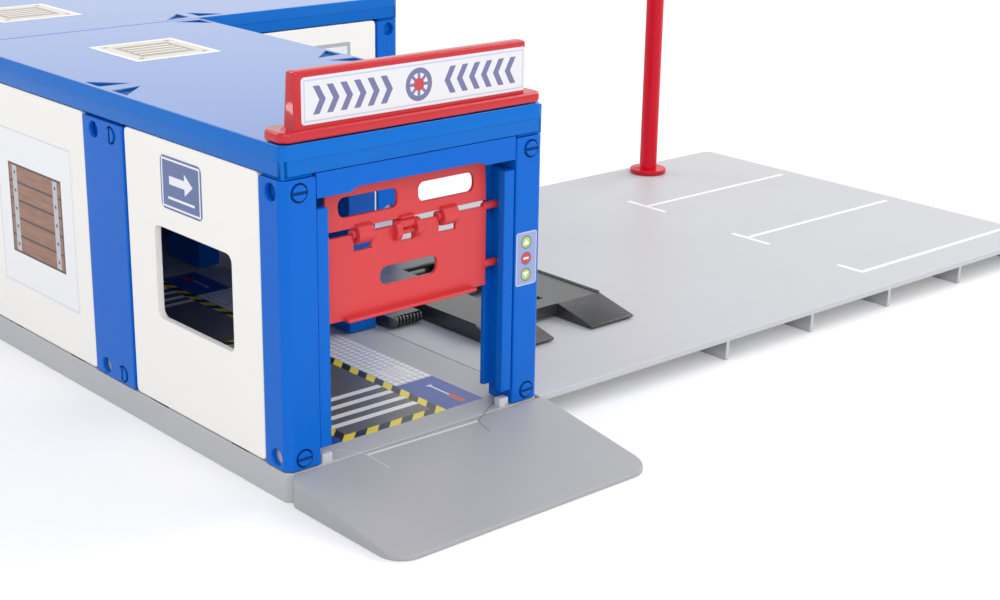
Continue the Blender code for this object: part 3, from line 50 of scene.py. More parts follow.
print("frame loaded:", len(frame["nodes"]), "moulded parts")

# Every place below is in millimetres from the foot of the front left post,
# x along the door face, y towards the back, z up.
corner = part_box("front_left_post")[0]


def spot(x, y, z):
    return Vector((corner.x + x * mm, corner.y + y * mm, z * mm))


def inMillimetres(point):
    return ((point.x - corner.x) / mm, (point.y - corner.y) / mm, point.z / mm)


def shade(red, green, blue):
    # 0-255 screen values to the linear colour that a shader wants
    def straighten(value):
        value /= 255
        return value / 12.92 if value < 0.04045 else ((value + 0.055) / 1.055) ** 2.4
    return (straighten(red), straighten(green), straighten(blue), 1)


coatBlur = 0.12  # roughness of every clear coat


class Wire:
    # a node's output socket that takes part in sums
    def __init__(self, look, socket):
        self.look = look
        self.socket = socket

    def sum(self, operation, first, second=None, clamp=False):
        values = {0: first} if second is None else {0: first, 1: second}
        return self.look.add("ShaderNodeMath", {"operation": operation, "use_clamp": clamp}, values)

    def __add__(self, other):
        return self.sum("ADD", self, other)

    def __radd__(self, other):
        return self.sum("ADD", other, self)

    def __sub__(self, other):
        return self.sum("SUBTRACT", self, other)

    def __rsub__(self, other):
        return self.sum("SUBTRACT", other, self)

    def __mul__(self, other):
        return self.sum("MULTIPLY", self, other)

    def __rmul__(self, other):
        return self.sum("MULTIPLY", other, self)

    def __truediv__(self, other):
        return self.sum("DIVIDE", self, other)

    def __rtruediv__(self, other):
        return self.sum("DIVIDE", other, self)

    def __pow__(self, other):
        return self.sum("POWER", self, other)

    def __abs__(self):
        return self.sum("ABSOLUTE", self)

    def larger(self, other):
        return self.sum("MAXIMUM", self, other)

    def smaller(self, other):
        return self.sum("MINIMUM", self, other)

    def repeat(self, length):
        # saw tooth from 0 to 1 along each length
        return self.sum("FRACT", self / length)

    def fromMiddle(self, length, middle=0.5):
        # distance from the middle of the nearest of equal strips
        return abs(self.repeat(length) - middle) * length

    def clamped(self):
        return self.sum("ADD", self, 0.0, clamp=True)


class Look:
    # one node tree: a material's, or the world's
    def __init__(self, owner):
        self.owner = owner
        owner.use_nodes = True
        self.tree = owner.node_tree
        self.tree.nodes.clear()

    def add(self, kind, settings, sockets, out=0):
        node = self.tree.nodes.new(kind)
        for key, value in settings.items():
            setattr(node, key, value)
        for key, value in sockets.items():
            if isinstance(value, Wire):
                self.tree.links.new(value.socket, node.inputs[key])
            else:
                node.inputs[key].default_value = value
        return Wire(self, node.outputs[out]) if len(node.outputs) else None

    def place(self):
        return self.add("ShaderNodeTexCoord", {}, {}, "Object")

    def axes(self):
        # object coordinates as millimetres from the foot of the post
        split = self.add("ShaderNodeSeparateXYZ", {}, {0: self.place()}, 0)
        outs = split.socket.node.outputs
        x, y, z = (Wire(self, outs[k]) for k in range(3))
        return (x - corner.x) / mm, (y - corner.y) / mm, z / mm

    def noise(self, size, detail=2.0, stretch=(1, 1, 1)):
        # size is the width of one blotch in millimetres
        turned = self.add("ShaderNodeMapping", {}, {"Vector": self.place(), "Scale": stretch})
        return self.add("ShaderNodeTexNoise", {},
                        {"Vector": turned, "Scale": 1 / (size * mm), "Detail": detail}, "Fac")

    def mix(self, factor, first, second):
        return self.add("ShaderNodeMix", {"data_type": "RGBA"}, {0: factor, 6: first, 7: second}, 2)

    def finish(self, colour, roughness, height, depth, coat=0.0, bend=1.45):
        # depth is the bump's full height in millimetres
        bump = self.add("ShaderNodeBump", {}, {"Height": height, "Distance": depth * mm})
        shader = self.add("ShaderNodeBsdfPrincipled", {},
                          {"Base Color": colour, "Roughness": roughness, "Normal": bump,
                           "Coat Weight": coat, "Coat Roughness": coatBlur, "IOR": bend})
        self.add("ShaderNodeOutputMaterial", {}, {"Surface": shader})
        return self.owner


def newLook(name):
    return Look(bpy.data.materials.new(name))


edgeBlur = 0.14  # millimetres over which a printed edge fades
arrowSpread = 0.75  # half of an arrow head's width, as a share of its length


def filled(gap, blur=edgeBlur):
    # 1 inside a shape whose signed distance is gap, 0 outside
    return (0.5 - gap / blur).clamped()


def boxGap(u, v, left, right, low, high):
    wide = abs(u - (left + right) / 2) - (right - left) / 2
    tall = abs(v - (low + high) / 2) - (high - low) / 2
    return wide.larger(tall)


def box(u, v, left, right, low, high):
    return filled(boxGap(u, v, left, right, low, high))


def middleBox(u, v, across, up):
    # a box round the origin, from its half width and half height
    return box(u, v, -across, across, -up, up)


def rimGap(u, v, size, inset=0):
    # signed distance from a card's outline drawn in by the inset
    across, up = size[0] / 2 - inset, size[1] / 2 - inset
    return boxGap(u, v, -across, across, -up, up)


def roundGap(u, v, acrossCentre, upCentre, radius):
    across, up = u - acrossCentre, v - upCentre
    return (across * across + up * up) ** 0.5 - radius


def disc(u, v, acrossCentre, upCentre, radius):
    return filled(roundGap(u, v, acrossCentre, upCentre, radius))


def arrowHead(u, v, tipAcross, tipUp, length, direction):
    # a triangle with its point at the tip; direction is up, down, left or right
    if direction in ("up", "down"):
        along, aside = (tipUp - v if direction == "up" else v - tipUp), abs(u - tipAcross)
    else:
        along, aside = (tipAcross - u if direction == "right" else u - tipAcross), abs(v - tipUp)
    return filled((aside - along * arrowSpread).larger(along - length))


plastics = {
    "blue_plastic": {"tone": (0, 101, 204), "dusty": (6, 110, 212), "gloss": 0.24, "grain": 0.008,
                     "bend": 1.25},
    "roof_plastic": {"tone": (0, 108, 202), "dusty": (6, 118, 210), "gloss": 0.22, "grain": 0.005,
                     "bend": 1.25},
    "white_plastic": {"tone": (249, 247, 242), "dusty": (244, 241, 235), "gloss": 0.30,
                      "grain": 0.008, "bend": 1.42},
    "red_plastic": {"tone": (198, 26, 38), "dusty": (206, 40, 50), "gloss": 0.12, "grain": 0.005,
                    "bend": 1.50},
    # painted light: this grey, used on the bay floors, is set lighter than the ramp's grey below,
    # so that the floors inside the dim bay look lit
    "grey_plastic": {"tone": (182, 184, 187), "dusty": (190, 192, 195), "gloss": 0.42,
                     "grain": 0.012, "bend": 1.45},
    "ramp_plastic": {"tone": (165, 167, 170), "dusty": (174, 176, 178), "gloss": 0.40,
                     "grain": 0.012, "bend": 1.45},
    "pale_grey_plastic": {"tone": (192, 193, 197), "dusty": (199, 200, 203), "gloss": 0.42,
                          "grain": 0.016, "bend": 1.45},
    "black_plastic": {"tone": (51, 52, 55), "dusty": (69, 70, 74), "gloss": 0.27, "grain": 0.012,
                      "bend": 1.65},
    "door_plastic": {"tone": (216, 62, 66), "dusty": (222, 78, 80), "gloss": 0.30, "grain": 0.010,
                     "bend": 1.42},
    "mast_plastic": {"tone": (204, 4, 34), "dusty": (210, 24, 48), "gloss": 0.22, "grain": 0.008,
                     "bend": 1.32},
}

moulding = {
    # noises: width of a blotch in millimetres, detail, and how often it repeats along x, y, z
    "flow": (38, 3.0, (1, 1, 0.55)), "mottle": (6.5, 2.0), "grain": (0.75, 1.0),
    "rub": (14, 4.0, (0.35, 1.6, 1.0)),
    "rubbedFrom": 0.60, "rubbedRise": 4, "rubbedShare": 0.25,
    "cloudFrom": 0.35, "cloudRise": 1.8, "cloudShare": 0.30,
    "paintedRecessShade": 0.4,  # painted shade: the share of the tone kept in sunk places
    "mottleGloss": 0.08, "rubbedGloss": 0.22, "recessGloss": 0.3,
    "mottleHeight": 0.5, "grainHeight": 0.35, "rubHeight": 0.15,
}


def rising(wire, start, rise):
    # 0 below the start, then up to 1
    return ((wire - start) * rise).clamped()


def plasticParts(look, finish):
    # colour, roughness and height of a moulded face with faint flow marks, grain and rubs
    plan = moulding
    flow = look.noise(*plan["flow"])
    mottle = look.noise(*plan["mottle"])
    grain = look.noise(*plan["grain"])
    rub = look.noise(*plan["rub"])
    shadedRecess = look.add("ShaderNodeAttribute", {"attribute_name": "shadedRecess"}, {}, "Fac")
    rubbed = rising(rub, plan["rubbedFrom"], plan["rubbedRise"]) * plan["rubbedShare"]
    cloud = rising(flow, plan["cloudFrom"], plan["cloudRise"]) * plan["cloudShare"]
    colour = look.mix(cloud + rubbed, shade(*finish["tone"]), shade(*finish["dusty"]))
    # painted shade: faces marked as sunk take a darker copy of the tone
    dark = tuple(part * plan["paintedRecessShade"] for part in shade(*finish["tone"])[:3]) + (1,)
    colour = look.mix(shadedRecess, colour, dark)
    roughness = finish["gloss"] + (mottle - 0.5) * plan["mottleGloss"]
    roughness = roughness + rubbed * plan["rubbedGloss"] + shadedRecess * plan["recessGloss"]
    height = mottle * plan["mottleHeight"] + grain * plan["grainHeight"] + rub * plan["rubHeight"]
    return colour, roughness, height


def mouldedPlastic(slotName):
    look = newLook(slotName)
    finish = plastics[slotName]
    colour, roughness, height = plasticParts(look, finish)
    return look.finish(colour, roughness, height, finish["grain"], bend=finish["bend"])


plasticLooks = {name: mouldedPlastic(name) for name in plastics}


roofTopFinish = {"skin": 0.25, "smoother": 0.08, "coat": 0.68}  # skin is the top's depth


def roofLook():
    # the flat top of a roof is polished, its stepped sides are not
    look = newLook("roof_with_polished_top")
    finish, polish = plastics["roof_plastic"], roofTopFinish
    colour, roughness, height = plasticParts(look, finish)
    x, y, z = look.axes()
    top = filled(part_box("main_roof")[1].z / mm - polish["skin"] - z)
    return look.finish(colour, roughness - top * polish["smoother"], height, finish["grain"],
                       top * polish["coat"], finish["bend"])


parking = {
    "width": 2.5,
    "bays": ((336.0, 76.0, 100.0, 90.5), (339.0, 148.0, 175.0, 161.5)),  # x, y from, y to, stem y
    "corner": (335.0, 20.0, 34.0),  # x, y of the angle, y where its short leg ends
    "farEnd": 449.0,
    "paint": (240, 241, 243), "skin": 0.2, "smoother": 0.08,
    "wear": (2.2, 3.0), "wornFrom": 0.30, "wornRise": 5, "cover": 0.75,
}


def yardLook():
    # satin pale grey with the white lines of two parking places
    look = newLook("yard_with_parking_lines")
    finish = plastics["pale_grey_plastic"]
    colour, roughness, height = plasticParts(look, finish)
    x, y, z = look.axes()
    half = parking["width"] / 2
    lines = None
    for across, low, high, stem in parking["bays"]:
        mark = box(x, y, across - half, across + half, low, high)
        mark = mark.larger(box(x, y, across, parking["farEnd"], stem - half, stem + half))
        lines = mark if lines is None else lines.larger(mark)
    across, angle, end = parking["corner"]
    lines = lines.larger(box(x, y, across - half, across + half, angle - half, end))
    lines = lines.larger(box(x, y, across - half, parking["farEnd"], angle - half, angle + half))
    top = filled(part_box("yard_plate")[1].z / mm - parking["skin"] - z)
    lines = lines * top
    worn = rising(look.noise(*parking["wear"]), parking["wornFrom"], parking["wornRise"])
    cover = parking["cover"] + worn * (1 - parking["cover"])
    colour = look.mix(lines * cover, colour, shade(*parking["paint"]))
    return look.finish(colour, roughness - lines * parking["smoother"], height, finish["grain"],
                       bend=finish["bend"])


floorMarks = {
    "lug": (198, 202, 212), "lugFrom": 0.15,  # above the yard
    # painted highlight: the pale seam line and the pale crease; painted shade: the dark crease
    "seamHighlight": (226, 227, 231), "seamBlur": 0.4, "highlightCover": 0.9,
    "creaseShade": (92, 94, 99), "creaseWidth": 0.4, "creaseBlur": 0.5, "creaseShadeCover": 0.8,
    "creaseHighlightShare": 0.6, "creaseDepth": 2, "ceiling": 11.2,
    "seamLine": ((31.3, -2.1), (80.6, -2.9)), "seamWidth": 0.9,
    "highlitCrease": ((24.2, 9.0), (31.3, -2.1), (32.7, -12.6)),
    "shadedCrease": ((98.7, 7.5), (80.6, -2.9), (79.3, -10.5)),
}


def lineGap(x, y, start, end, width):
    # signed distance from a short straight line on the floor
    run = Vector((end[0] - start[0], end[1] - start[1]))
    length = run.length
    along = ((x - start[0]) * (run.x / length) + (y - start[1]) * (run.y / length))
    aside = ((x - start[0]) * (-run.y / length) + (y - start[1]) * (run.x / length))
    return (abs(aside) - width / 2).larger(abs(along - length / 2) - length / 2)


def creaseMask(x, y, first, middle, last):
    # a fine line bent once
    start, end = (filled(lineGap(x, y, *part, floorMarks["creaseWidth"]), floorMarks["creaseBlur"])
                  for part in ((first, middle), (middle, last)))
    return start.larger(end)


def greyFloorLook(slotName):
    # satin grey of floors and ramp, with the door lugs left pale, a painted highlight along the
    # seam at the ramp, and faint creases at the ramp: grooves in the bump, one edged with a painted
    # highlight, the other darkened with painted shade
    look = newLook(slotName + "_with_creases")
    finish = plastics[slotName]
    colour, roughness, height = plasticParts(look, finish)
    x, y, z = look.axes()
    marks = floorMarks
    lugs = filled(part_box("yard_plate")[1].z / mm + marks["lugFrom"] - z)
    seamHighlight = filled(lineGap(x, y, *marks["seamLine"], marks["seamWidth"]), marks["seamBlur"])
    highlitCrease = creaseMask(x, y, *marks["highlitCrease"])
    shadedGroove = creaseMask(x, y, *marks["shadedCrease"])
    low = filled(z - marks["ceiling"])
    # painted highlight along the seam and the pale crease, painted shade in the dark crease
    paintedHighlight = seamHighlight.larger(highlitCrease * marks["creaseHighlightShare"])
    colour = look.mix(paintedHighlight * low * marks["highlightCover"], colour, shade(*marks["seamHighlight"]))
    colour = look.mix(shadedGroove * low * marks["creaseShadeCover"], colour, shade(*marks["creaseShade"]))
    colour = look.mix(lugs, colour, shade(*marks["lug"]))
    return look.finish(colour, roughness, height - shadedGroove * low * marks["creaseDepth"],
                       finish["grain"])


specialLooks = {"yard_plate": yardLook()}
roofFinish = roofLook()
for roofPart in ("main_roof", "rear_roof"):
    specialLooks[roofPart] = roofFinish
# painted light: the floors get a lighter copy of the ramp's grey, so that the dim bay looks lit
greyFloor = greyFloorLook("grey_plastic")
for floorPart in ("workshop_floor", "rear_floor"):
    specialLooks[floorPart] = greyFloor
specialLooks["entry_ramp"] = greyFloorLook("ramp_plastic")
for doorPart in ("door_bottom_section", "door_middle_section", "door_top_section"):
    specialLooks[doorPart] = plasticLooks["door_plastic"]
for mastPart in ("mast_pole", "mast_sign"):
    specialLooks[mastPart] = plasticLooks["mast_plastic"]
print("plastics made")


easing = {
    "width": 0.45,  # of a moulded edge's round, where no other width is given
    "widths": {"roof_sign": 1.1, "post": 0.55, "roof": 0.4, "slotted_bolt": 0.25, "door_rail": 0.35,
               "_section": 0.3, "lift_": 0.3, "mast": 0.5, "yard": 0.35, "lintel": 0.12},
    "sharpest": 35,  # degrees; flatter edges stay as they are
    "steps": 2,
    "room": 2.3,  # how many widths a face needs beside an eased edge
    "bend": 40,  # degrees; short edges are eased only along a gentler curve
    "slotWide": 2.2,  # recessed faces of a bolt lie this near to its axis
    "holeWide": 3.6,  # and those of its hole in the post this near
    "slotDepth": 1.2,  # of a roof's slots, and a little more
    "slotShade": 0.7,  # how dark their painted shade is, 1 is as dark as beside a bolt
    "slimBolt": 0.87,  # of the bolt's width, so that a dark ring shows round its head
    "rimShare": 0.45,  # of a bolt's width: its head's rim lies farther from its middle
    "sunkFrom": 0.15, "sunkTo": 8,  # depths below a head's face that count as sunk
    "roofEdge": 2,  # a roof's slots lie farther in than this
    "weld": 1e-6,  # metres
    "flat": 0.8,  # degrees between faces that become one
    "sharp": 52,  # degrees from which an edge is shaded sharp
}


def easeWidth(node):
    for part, width in easing["widths"].items():
        if part in node:
            return width * mm
    return easing["width"] * mm


def runsOn(edge, vert, chosen):
    # whether one other chosen edge carries this one on past its end without a sharp turn
    others = [other for other in vert.link_edges if other in chosen and other is not edge]
    if len(others) != 1:
        return False
    inwards = vert.co - edge.other_vert(vert).co
    outwards = others[0].other_vert(vert).co - vert.co
    return inwards.angle(outwards) < math.radians(easing["bend"])


def thinnest(size):
    # the axis along which a box is smallest
    return min(range(3), key=lambda k: size[k])


def slimBolt(form, node):
    # a bolt a little narrower than its hole, as long as before
    low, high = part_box(node)
    scale = [easing["slimBolt"]] * 3
    scale[thinnest(high - low)] = 1
    bmesh.ops.scale(form, vec=scale, space=Matrix.Translation((low + high) / -2),
                    verts=form.verts[:])


def boltAxes():
    # each bolt's middle, the direction it points out in, and how far out its head's face is
    found = []
    for node in frame["nodes"]:
        if not node.startswith("slotted_bolt"):
            continue
        low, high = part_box(node)
        size = high - low
        along = thinnest(size)
        middle = (low + high) / 2
        rim = [vert.co for vert in frame["nodes"][node].data.vertices
               if (vert.co - middle).length > easing["rimShare"] * max(size)]
        outwards = 1 if sum(point[along] for point in rim) / len(rim) > middle[along] else -1
        found.append((middle, along, outwards, high[along] if outwards > 0 else low[along]))
    return found


def markShadedRecesses(form, holeWide):
    # faces sunk beside a bolt's head or in its slot, which get painted shade
    shadedRecess = form.faces.layers.float.new("shadedRecess")
    for face in form.faces:
        point = face.calc_center_median()
        for middle, along, outwards, head in bolts:
            aside = point - middle
            aside[along] = 0
            depth = (head - point[along]) * outwards
            sunk = easing["sunkFrom"] * mm < depth < easing["sunkTo"] * mm
            if sunk and aside.length < holeWide * mm:
                face[shadedRecess] = 1


def markShadedSlots(form, node):
    # the sunk faces of the three-sided slots in a roof's top, which get painted shade
    low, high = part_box(node)
    edge = easing["roofEdge"] * mm
    shadedRecess = form.faces.layers.float.new("shadedRecess")
    for face in form.faces:
        point = face.calc_center_median()
        inside = all(low[k] + edge < point[k] < high[k] - edge for k in (0, 1))
        if inside and easing["sunkFrom"] * mm < high.z - point.z < easing["slotDepth"] * mm:
            face[shadedRecess] = easing["slotShade"]


def easedEdges(form, width):
    # outer edges with room for the round on both faces and at both ends
    room = easing["room"] * width
    sharpest = math.radians(easing["sharpest"])
    chosen = set()
    for edge in form.edges:
        if not edge.is_manifold or edge.calc_face_angle_signed() < sharpest:
            continue
        length = edge.calc_length()
        if all(face.calc_area() / length > room for face in edge.link_faces):
            chosen.add(edge)
    changed = True
    while changed:
        changed = False
        for vert in form.verts:
            ends = [edge for edge in vert.link_edges if edge in chosen]
            others = [edge for edge in vert.link_edges if edge not in chosen]
            if ends and any(edge.calc_length() < room for edge in others):
                chosen.difference_update(ends)
                changed = True
        for edge in [edge for edge in chosen if edge.calc_length() < room]:
            if not all(runsOn(edge, vert, chosen) for vert in edge.verts):
                chosen.discard(edge)
                changed = True
    return list(chosen)


def easedPart(node, body):
    source = frame["nodes"][node]
    width = easeWidth(node)
    form = bmesh.new()
    form.from_mesh(source.data)
    bmesh.ops.remove_doubles(form, verts=form.verts[:], dist=easing["weld"])
    bmesh.ops.dissolve_limit(form, angle_limit=math.radians(easing["flat"]),
                             verts=form.verts[:], edges=form.edges[:])
    if node.startswith("slotted_bolt"):
        slimBolt(form, node)
    rims = easedEdges(form, width)
    if rims:
        bmesh.ops.bevel(form, geom=rims, offset=width, offset_type="OFFSET", affect="EDGES",
                        segments=easing["steps"], profile=0.5, material=-1, clamp_overlap=False)
    for face in form.faces:
        face.smooth = True
    # painted shade goes on the sunk faces of bolts, of their holes in the posts and of the roof's
    # slots
    if node.startswith("slotted_bolt"):
        markShadedRecesses(form, easing["slotWide"])
    elif node in ("main_roof", "rear_roof"):
        markShadedSlots(form, node)
    elif node.endswith("_post"):
        markShadedRecesses(form, easing["holeWide"])
    mesh = bpy.data.meshes.new(node + "_moulded")
    form.to_mesh(mesh)
    form.free()
    mesh.set_sharp_from_angle(angle=math.radians(easing["sharp"]))
    piece = bpy.data.objects.new(node + "_moulded", mesh)
    bpy.context.scene.collection.objects.link(piece)
    flats = piece.modifiers.new("flats", "WEIGHTED_NORMAL")
    flats.keep_sharp = True
    slotName = slotOf[node]
    mesh.materials.append(specialLooks.get(node, plasticLooks[slotName]))
    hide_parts(node)
    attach(piece, body)
    return piece, len(rims)


bolts = boltAxes()
slotOf = {part["node"]: part["material_slot"] for part in record["subparts"]}
for body, members in record["behaviour"]["bodies"].items():
    for member in members:
        part, count = easedPart(member, body)
        before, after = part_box(member), part.bound_box
        grown = max(max(abs(after[0][k] - before[0][k]), abs(after[6][k] - before[1][k]))
                    for k in range(3))
        print("eased", member, count, "edges", len(part.data.polygons), "faces, box off",
              round(grown / mm, 2))


facings = {
    # where a plate's own x, y and outer face point
    "front": Matrix(((1, 0, 0), (0, 0, -1), (0, 1, 0))),
    "back": Matrix(((-1, 0, 0), (0, 0, 1), (0, 1, 0))),
    "left": Matrix(((0, 0, -1), (-1, 0, 0), (0, 1, 0))),
    "top": Matrix(((1, 0, 0), (0, 1, 0), (0, 0, 1))),
}


cards = {
    "thick": 0.15,
    "cornerSteps": 6,
    "rimSteps": 2,
    "rimShare": 0.4,  # of the thickness is eased
    "rimBend": 1,  # radians; only the card's rim turns more
}


def printedPlate(name, facing, centre, size, thick, rounding, look):
    # a thin card with round corners and an eased rim, its back on the given centre
    wide, high, thick, rounding = (length * mm for length in (*size, thick, rounding))
    form = bmesh.new()
    signs = ((-1, -1), (1, -1), (1, 1), (-1, 1))
    corners = [form.verts.new((x * wide / 2, y * high / 2, 0)) for x, y in signs]
    form.faces.new(corners)
    bmesh.ops.bevel(form, geom=form.verts[:], offset=rounding, affect="VERTICES",
                    segments=cards["cornerSteps"], profile=0.5, material=-1)
    grown = bmesh.ops.extrude_face_region(form, geom=form.faces[:], use_keep_orig=True)
    raised = [item for item in grown["geom"] if isinstance(item, bmesh.types.BMVert)]
    bmesh.ops.translate(form, verts=raised, vec=(0, 0, thick))
    bmesh.ops.recalc_face_normals(form, faces=form.faces[:])
    rim = [edge for edge in form.edges
           if all(vert.co.z > thick / 2 for vert in edge.verts)
           and edge.calc_face_angle(0) > cards["rimBend"]]
    bmesh.ops.bevel(form, geom=rim, offset=thick * cards["rimShare"], affect="EDGES",
                    segments=cards["rimSteps"], profile=0.5, material=-1)
    turn = facings[facing].to_4x4()
    bmesh.ops.transform(form, matrix=Matrix.Translation(spot(*centre)) @ turn, verts=form.verts[:])
    mesh = bpy.data.meshes.new(name)
    form.to_mesh(mesh)
    form.free()
    for face in mesh.polygons:
        face.use_smooth = False
    mesh.materials.append(look)
    piece = bpy.data.objects.new(name, mesh)
    bpy.context.scene.collection.objects.link(piece)
    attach(piece, "workshop")


def plateAxes(look, facing, centre):
    # across and up in millimetres from a plate's centre, as its reader sees them
    x, y, z = look.axes()
    if facing == "top":
        return x - centre[0], y - centre[1]
    across = {"front": x - centre[0], "back": centre[0] - x, "left": centre[1] - y}[facing]
    return across, z - centre[2]


paper = {"gloss": 0.30, "fibre": (0.6, 2.0), "waves": (9, 2.0), "wavesGloss": 0.12,
         "fibreHeight": 0.3, "wavesHeight": 0.7, "depth": 0.006, "coat": 0.25}


def printFinish(look, colour, gloss=paper["gloss"]):
    # printed paper under a thin clear film
    fibre = look.noise(*paper["fibre"])
    waves = look.noise(*paper["waves"])
    return look.finish(colour, gloss + (waves - 0.5) * paper["wavesGloss"],
                       fibre * paper["fibreHeight"] + waves * paper["wavesHeight"],
                       paper["depth"], paper["coat"])


def middleOf(plan, face):
    # centre and size of an upright card, from its four edges and the face it lies on
    onFront = "left" in plan
    start, end = (plan["left"], plan["right"]) if onFront else (plan["front"], plan["back"])
    middle, up = (start + end) / 2, (plan["low"] + plan["high"]) / 2
    centre = (middle, face, up) if onFront else (face, middle, up)
    return centre, (end - start, plan["high"] - plan["low"])


signPlan = {
    "left": 10.0, "right": 104.8, "low": 127.0, "high": 142.3, "face": 2.8,
    "thick": 0.25, "rounding": 1.2,
    "paper": (229, 229, 232), "ink": (114, 114, 158), "pale": (196, 200, 226),
    "accent": (200, 60, 70),
    "margin": 1.1, "border": 0.25, "wheel": 5.6, "hub": 2.2,
    "rim": 0.68,  # of the wheel's radius lies inside its tyre
    "spoke": 0.55, "slantSpoke": 0.78,  # half widths, the second measured aslant
    "bars": 6, "barPitch": 5.4, "barWidth": 2.5, "barHeight": 4.6, "barEnd": 0.01,
    "slant": 0.55, "gapToWheel": 9.5,
}


def signLook(facing, centre, size, bars):
    # a wheel in the middle and slanting bars that run out to both sides
    look = newLook("sign_print_" + facing + "_" + str(bars))
    u, v = plateAxes(look, facing, centre)
    plan = signPlan
    ink = shade(*plan["ink"])
    border = filled(abs(rimGap(u, v, size, plan["margin"])) - plan["border"])
    colour = look.mix(border, shade(*plan["paper"]), shade(*plan["pale"]))
    beside = abs(u) - abs(v) * plan["slant"] - plan["gapToWheel"]
    run = filled(beside.fromMiddle(plan["barPitch"]) - plan["barWidth"] / 2)
    reach = abs(beside / plan["barPitch"] - bars / 2) - bars / 2
    run = run * filled(reach, plan["barEnd"]) * filled(abs(v) - plan["barHeight"])
    colour = look.mix(run, colour, ink)
    colour = look.mix(disc(u, v, 0, 0, plan["wheel"]), colour, ink)
    rim = disc(u, v, 0, 0, plan["wheel"] * plan["rim"])
    colour = look.mix(rim, colour, shade(*plan["paper"]))
    spoke, slant = plan["spoke"], plan["slantSpoke"]
    spokes = filled(abs(u) - spoke).larger(filled(abs(v) - spoke))
    turned = filled(abs(u + v) - slant).larger(filled(abs(u - v) - slant))
    colour = look.mix(spokes.larger(turned) * rim, colour, ink)
    colour = look.mix(disc(u, v, 0, 0, plan["hub"]), colour, shade(*plan["accent"]))
    return printFinish(look, colour)


signCentre, signSize = middleOf(signPlan, signPlan["face"])
printedPlate("sign_print", "front", signCentre, signSize, signPlan["thick"], signPlan["rounding"],
             signLook("front", signCentre, signSize, signPlan["bars"]))

mastCard = {"margin": 3, "thick": 0.25, "rounding": 1.5, "bars": 0}
mastFoot, mastTop = (inMillimetres(point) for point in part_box("mast_sign"))
mastMiddle = [(low + high) / 2 for low, high in zip(mastFoot, mastTop)]
mastSize = [mastTop[k] - mastFoot[k] - 2 * mastCard["margin"] for k in (0, 2)]
for facing, face in (("front", mastFoot[1]), ("back", mastTop[1])):
    centre = (mastMiddle[0], face, mastMiddle[2])
    printedPlate("mast_print_" + facing, facing, centre, mastSize, mastCard["thick"],
                 mastCard["rounding"], signLook(facing, centre, mastSize, mastCard["bars"]))

hatchPlan = {
    "side": 38.5, "border": 2.3, "rounding": 0.8, "centres": ((56.5, 169.5), (56.5, 282.5)),
    "paper": (244, 246, 248), "ground": (217, 212, 201), "rubbed": (228, 224, 214),
    "slat": (225, 221, 210), "gap": (158, 150, 136), "shadow": (120, 112, 100),
    "grille": (12.5, 11.5), "slats": (10.6, 10.2),  # half widths and half heights
    "pitch": 4.6, "slatHalf": 1.35,
    "shadowPlace": 0.22, "shadowHalf": 0.3,  # the place is a share of the pitch
    "screwAside": 14.2, "screw": 1.1, "gloss": 0.36,
    "wear": (3.5, 3.0), "wornFrom": 0.4, "wornRise": 3, "wornShare": 0.4,
}


def hatchLook(number, centre):
    # a printed roof vent: a framed grille with four screws
    look = newLook("roof_print_" + str(number))
    u, v = plateAxes(look, "top", centre)
    plan = hatchPlan
    shadow = shade(*plan["shadow"])
    worn = rising(look.noise(*plan["wear"]), plan["wornFrom"], plan["wornRise"])
    ground = look.mix(worn * plan["wornShare"], shade(*plan["ground"]), shade(*plan["rubbed"]))
    inner = plan["side"] / 2 - plan["border"]
    colour = look.mix(middleBox(u, v, inner, inner), shade(*plan["paper"]), ground)
    colour = look.mix(middleBox(u, v, *plan["grille"]), colour, shade(*plan["gap"]))
    slats = middleBox(u, v, *plan["slats"])
    lit = filled(v.fromMiddle(plan["pitch"]) - plan["slatHalf"])
    colour = look.mix(lit * slats, colour, shade(*plan["slat"]))
    under = filled(v.fromMiddle(plan["pitch"], plan["shadowPlace"]) - plan["shadowHalf"])
    colour = look.mix(under * slats, colour, shadow)
    for across in (-plan["screwAside"], plan["screwAside"]):
        for up in (-plan["screwAside"], plan["screwAside"]):
            colour = look.mix(disc(u, v, across, up, plan["screw"]), colour, shadow)
    return printFinish(look, colour, plan["gloss"])


roofTop = inMillimetres(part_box("main_roof")[1])[2]
hatchSize = (hatchPlan["side"], hatchPlan["side"])
for number, (across, along) in enumerate(hatchPlan["centres"], 1):
    centre = (across, along, roofTop)
    printedPlate("roof_print_" + str(number), "top", centre, hatchSize, cards["thick"],
                 hatchPlan["rounding"], hatchLook(number, centre))

pictogram = {
    "front": 48.0, "back": 74.0, "low": 87.0, "high": 106.0, "face": 0.6, "rounding": 2.2,
    "ground": (86, 106, 158), "line": (238, 240, 246), "margin": 1.1, "border": 0.35,
    "tip": (7.6, 1.2), "head": 5.2,
    "shaft": (-7.4, 3.0, -0.3, 2.7), "road": (-8.5, 8.5, -5.6, -4.7),  # left, right, low, high
}


def pictogramLook(centre, size):
    # an arrow over a road line, white on blue grey
    look = newLook("arrow_print")
    u, v = plateAxes(look, "left", centre)
    plan = pictogram
    line = shade(*plan["line"])
    border = filled(abs(rimGap(u, v, size, plan["margin"])) - plan["border"])
    colour = look.mix(border, shade(*plan["ground"]), line)
    mark = arrowHead(u, v, *plan["tip"], plan["head"], "right").larger(box(u, v, *plan["shaft"]))
    return printFinish(look, look.mix(mark.larger(box(u, v, *plan["road"])), colour, line))


pictogramCentre, pictogramSize = middleOf(pictogram, pictogram["face"])
printedPlate("arrow_print", "left", pictogramCentre, pictogramSize, cards["thick"],
             pictogram["rounding"], pictogramLook(pictogramCentre, pictogramSize))

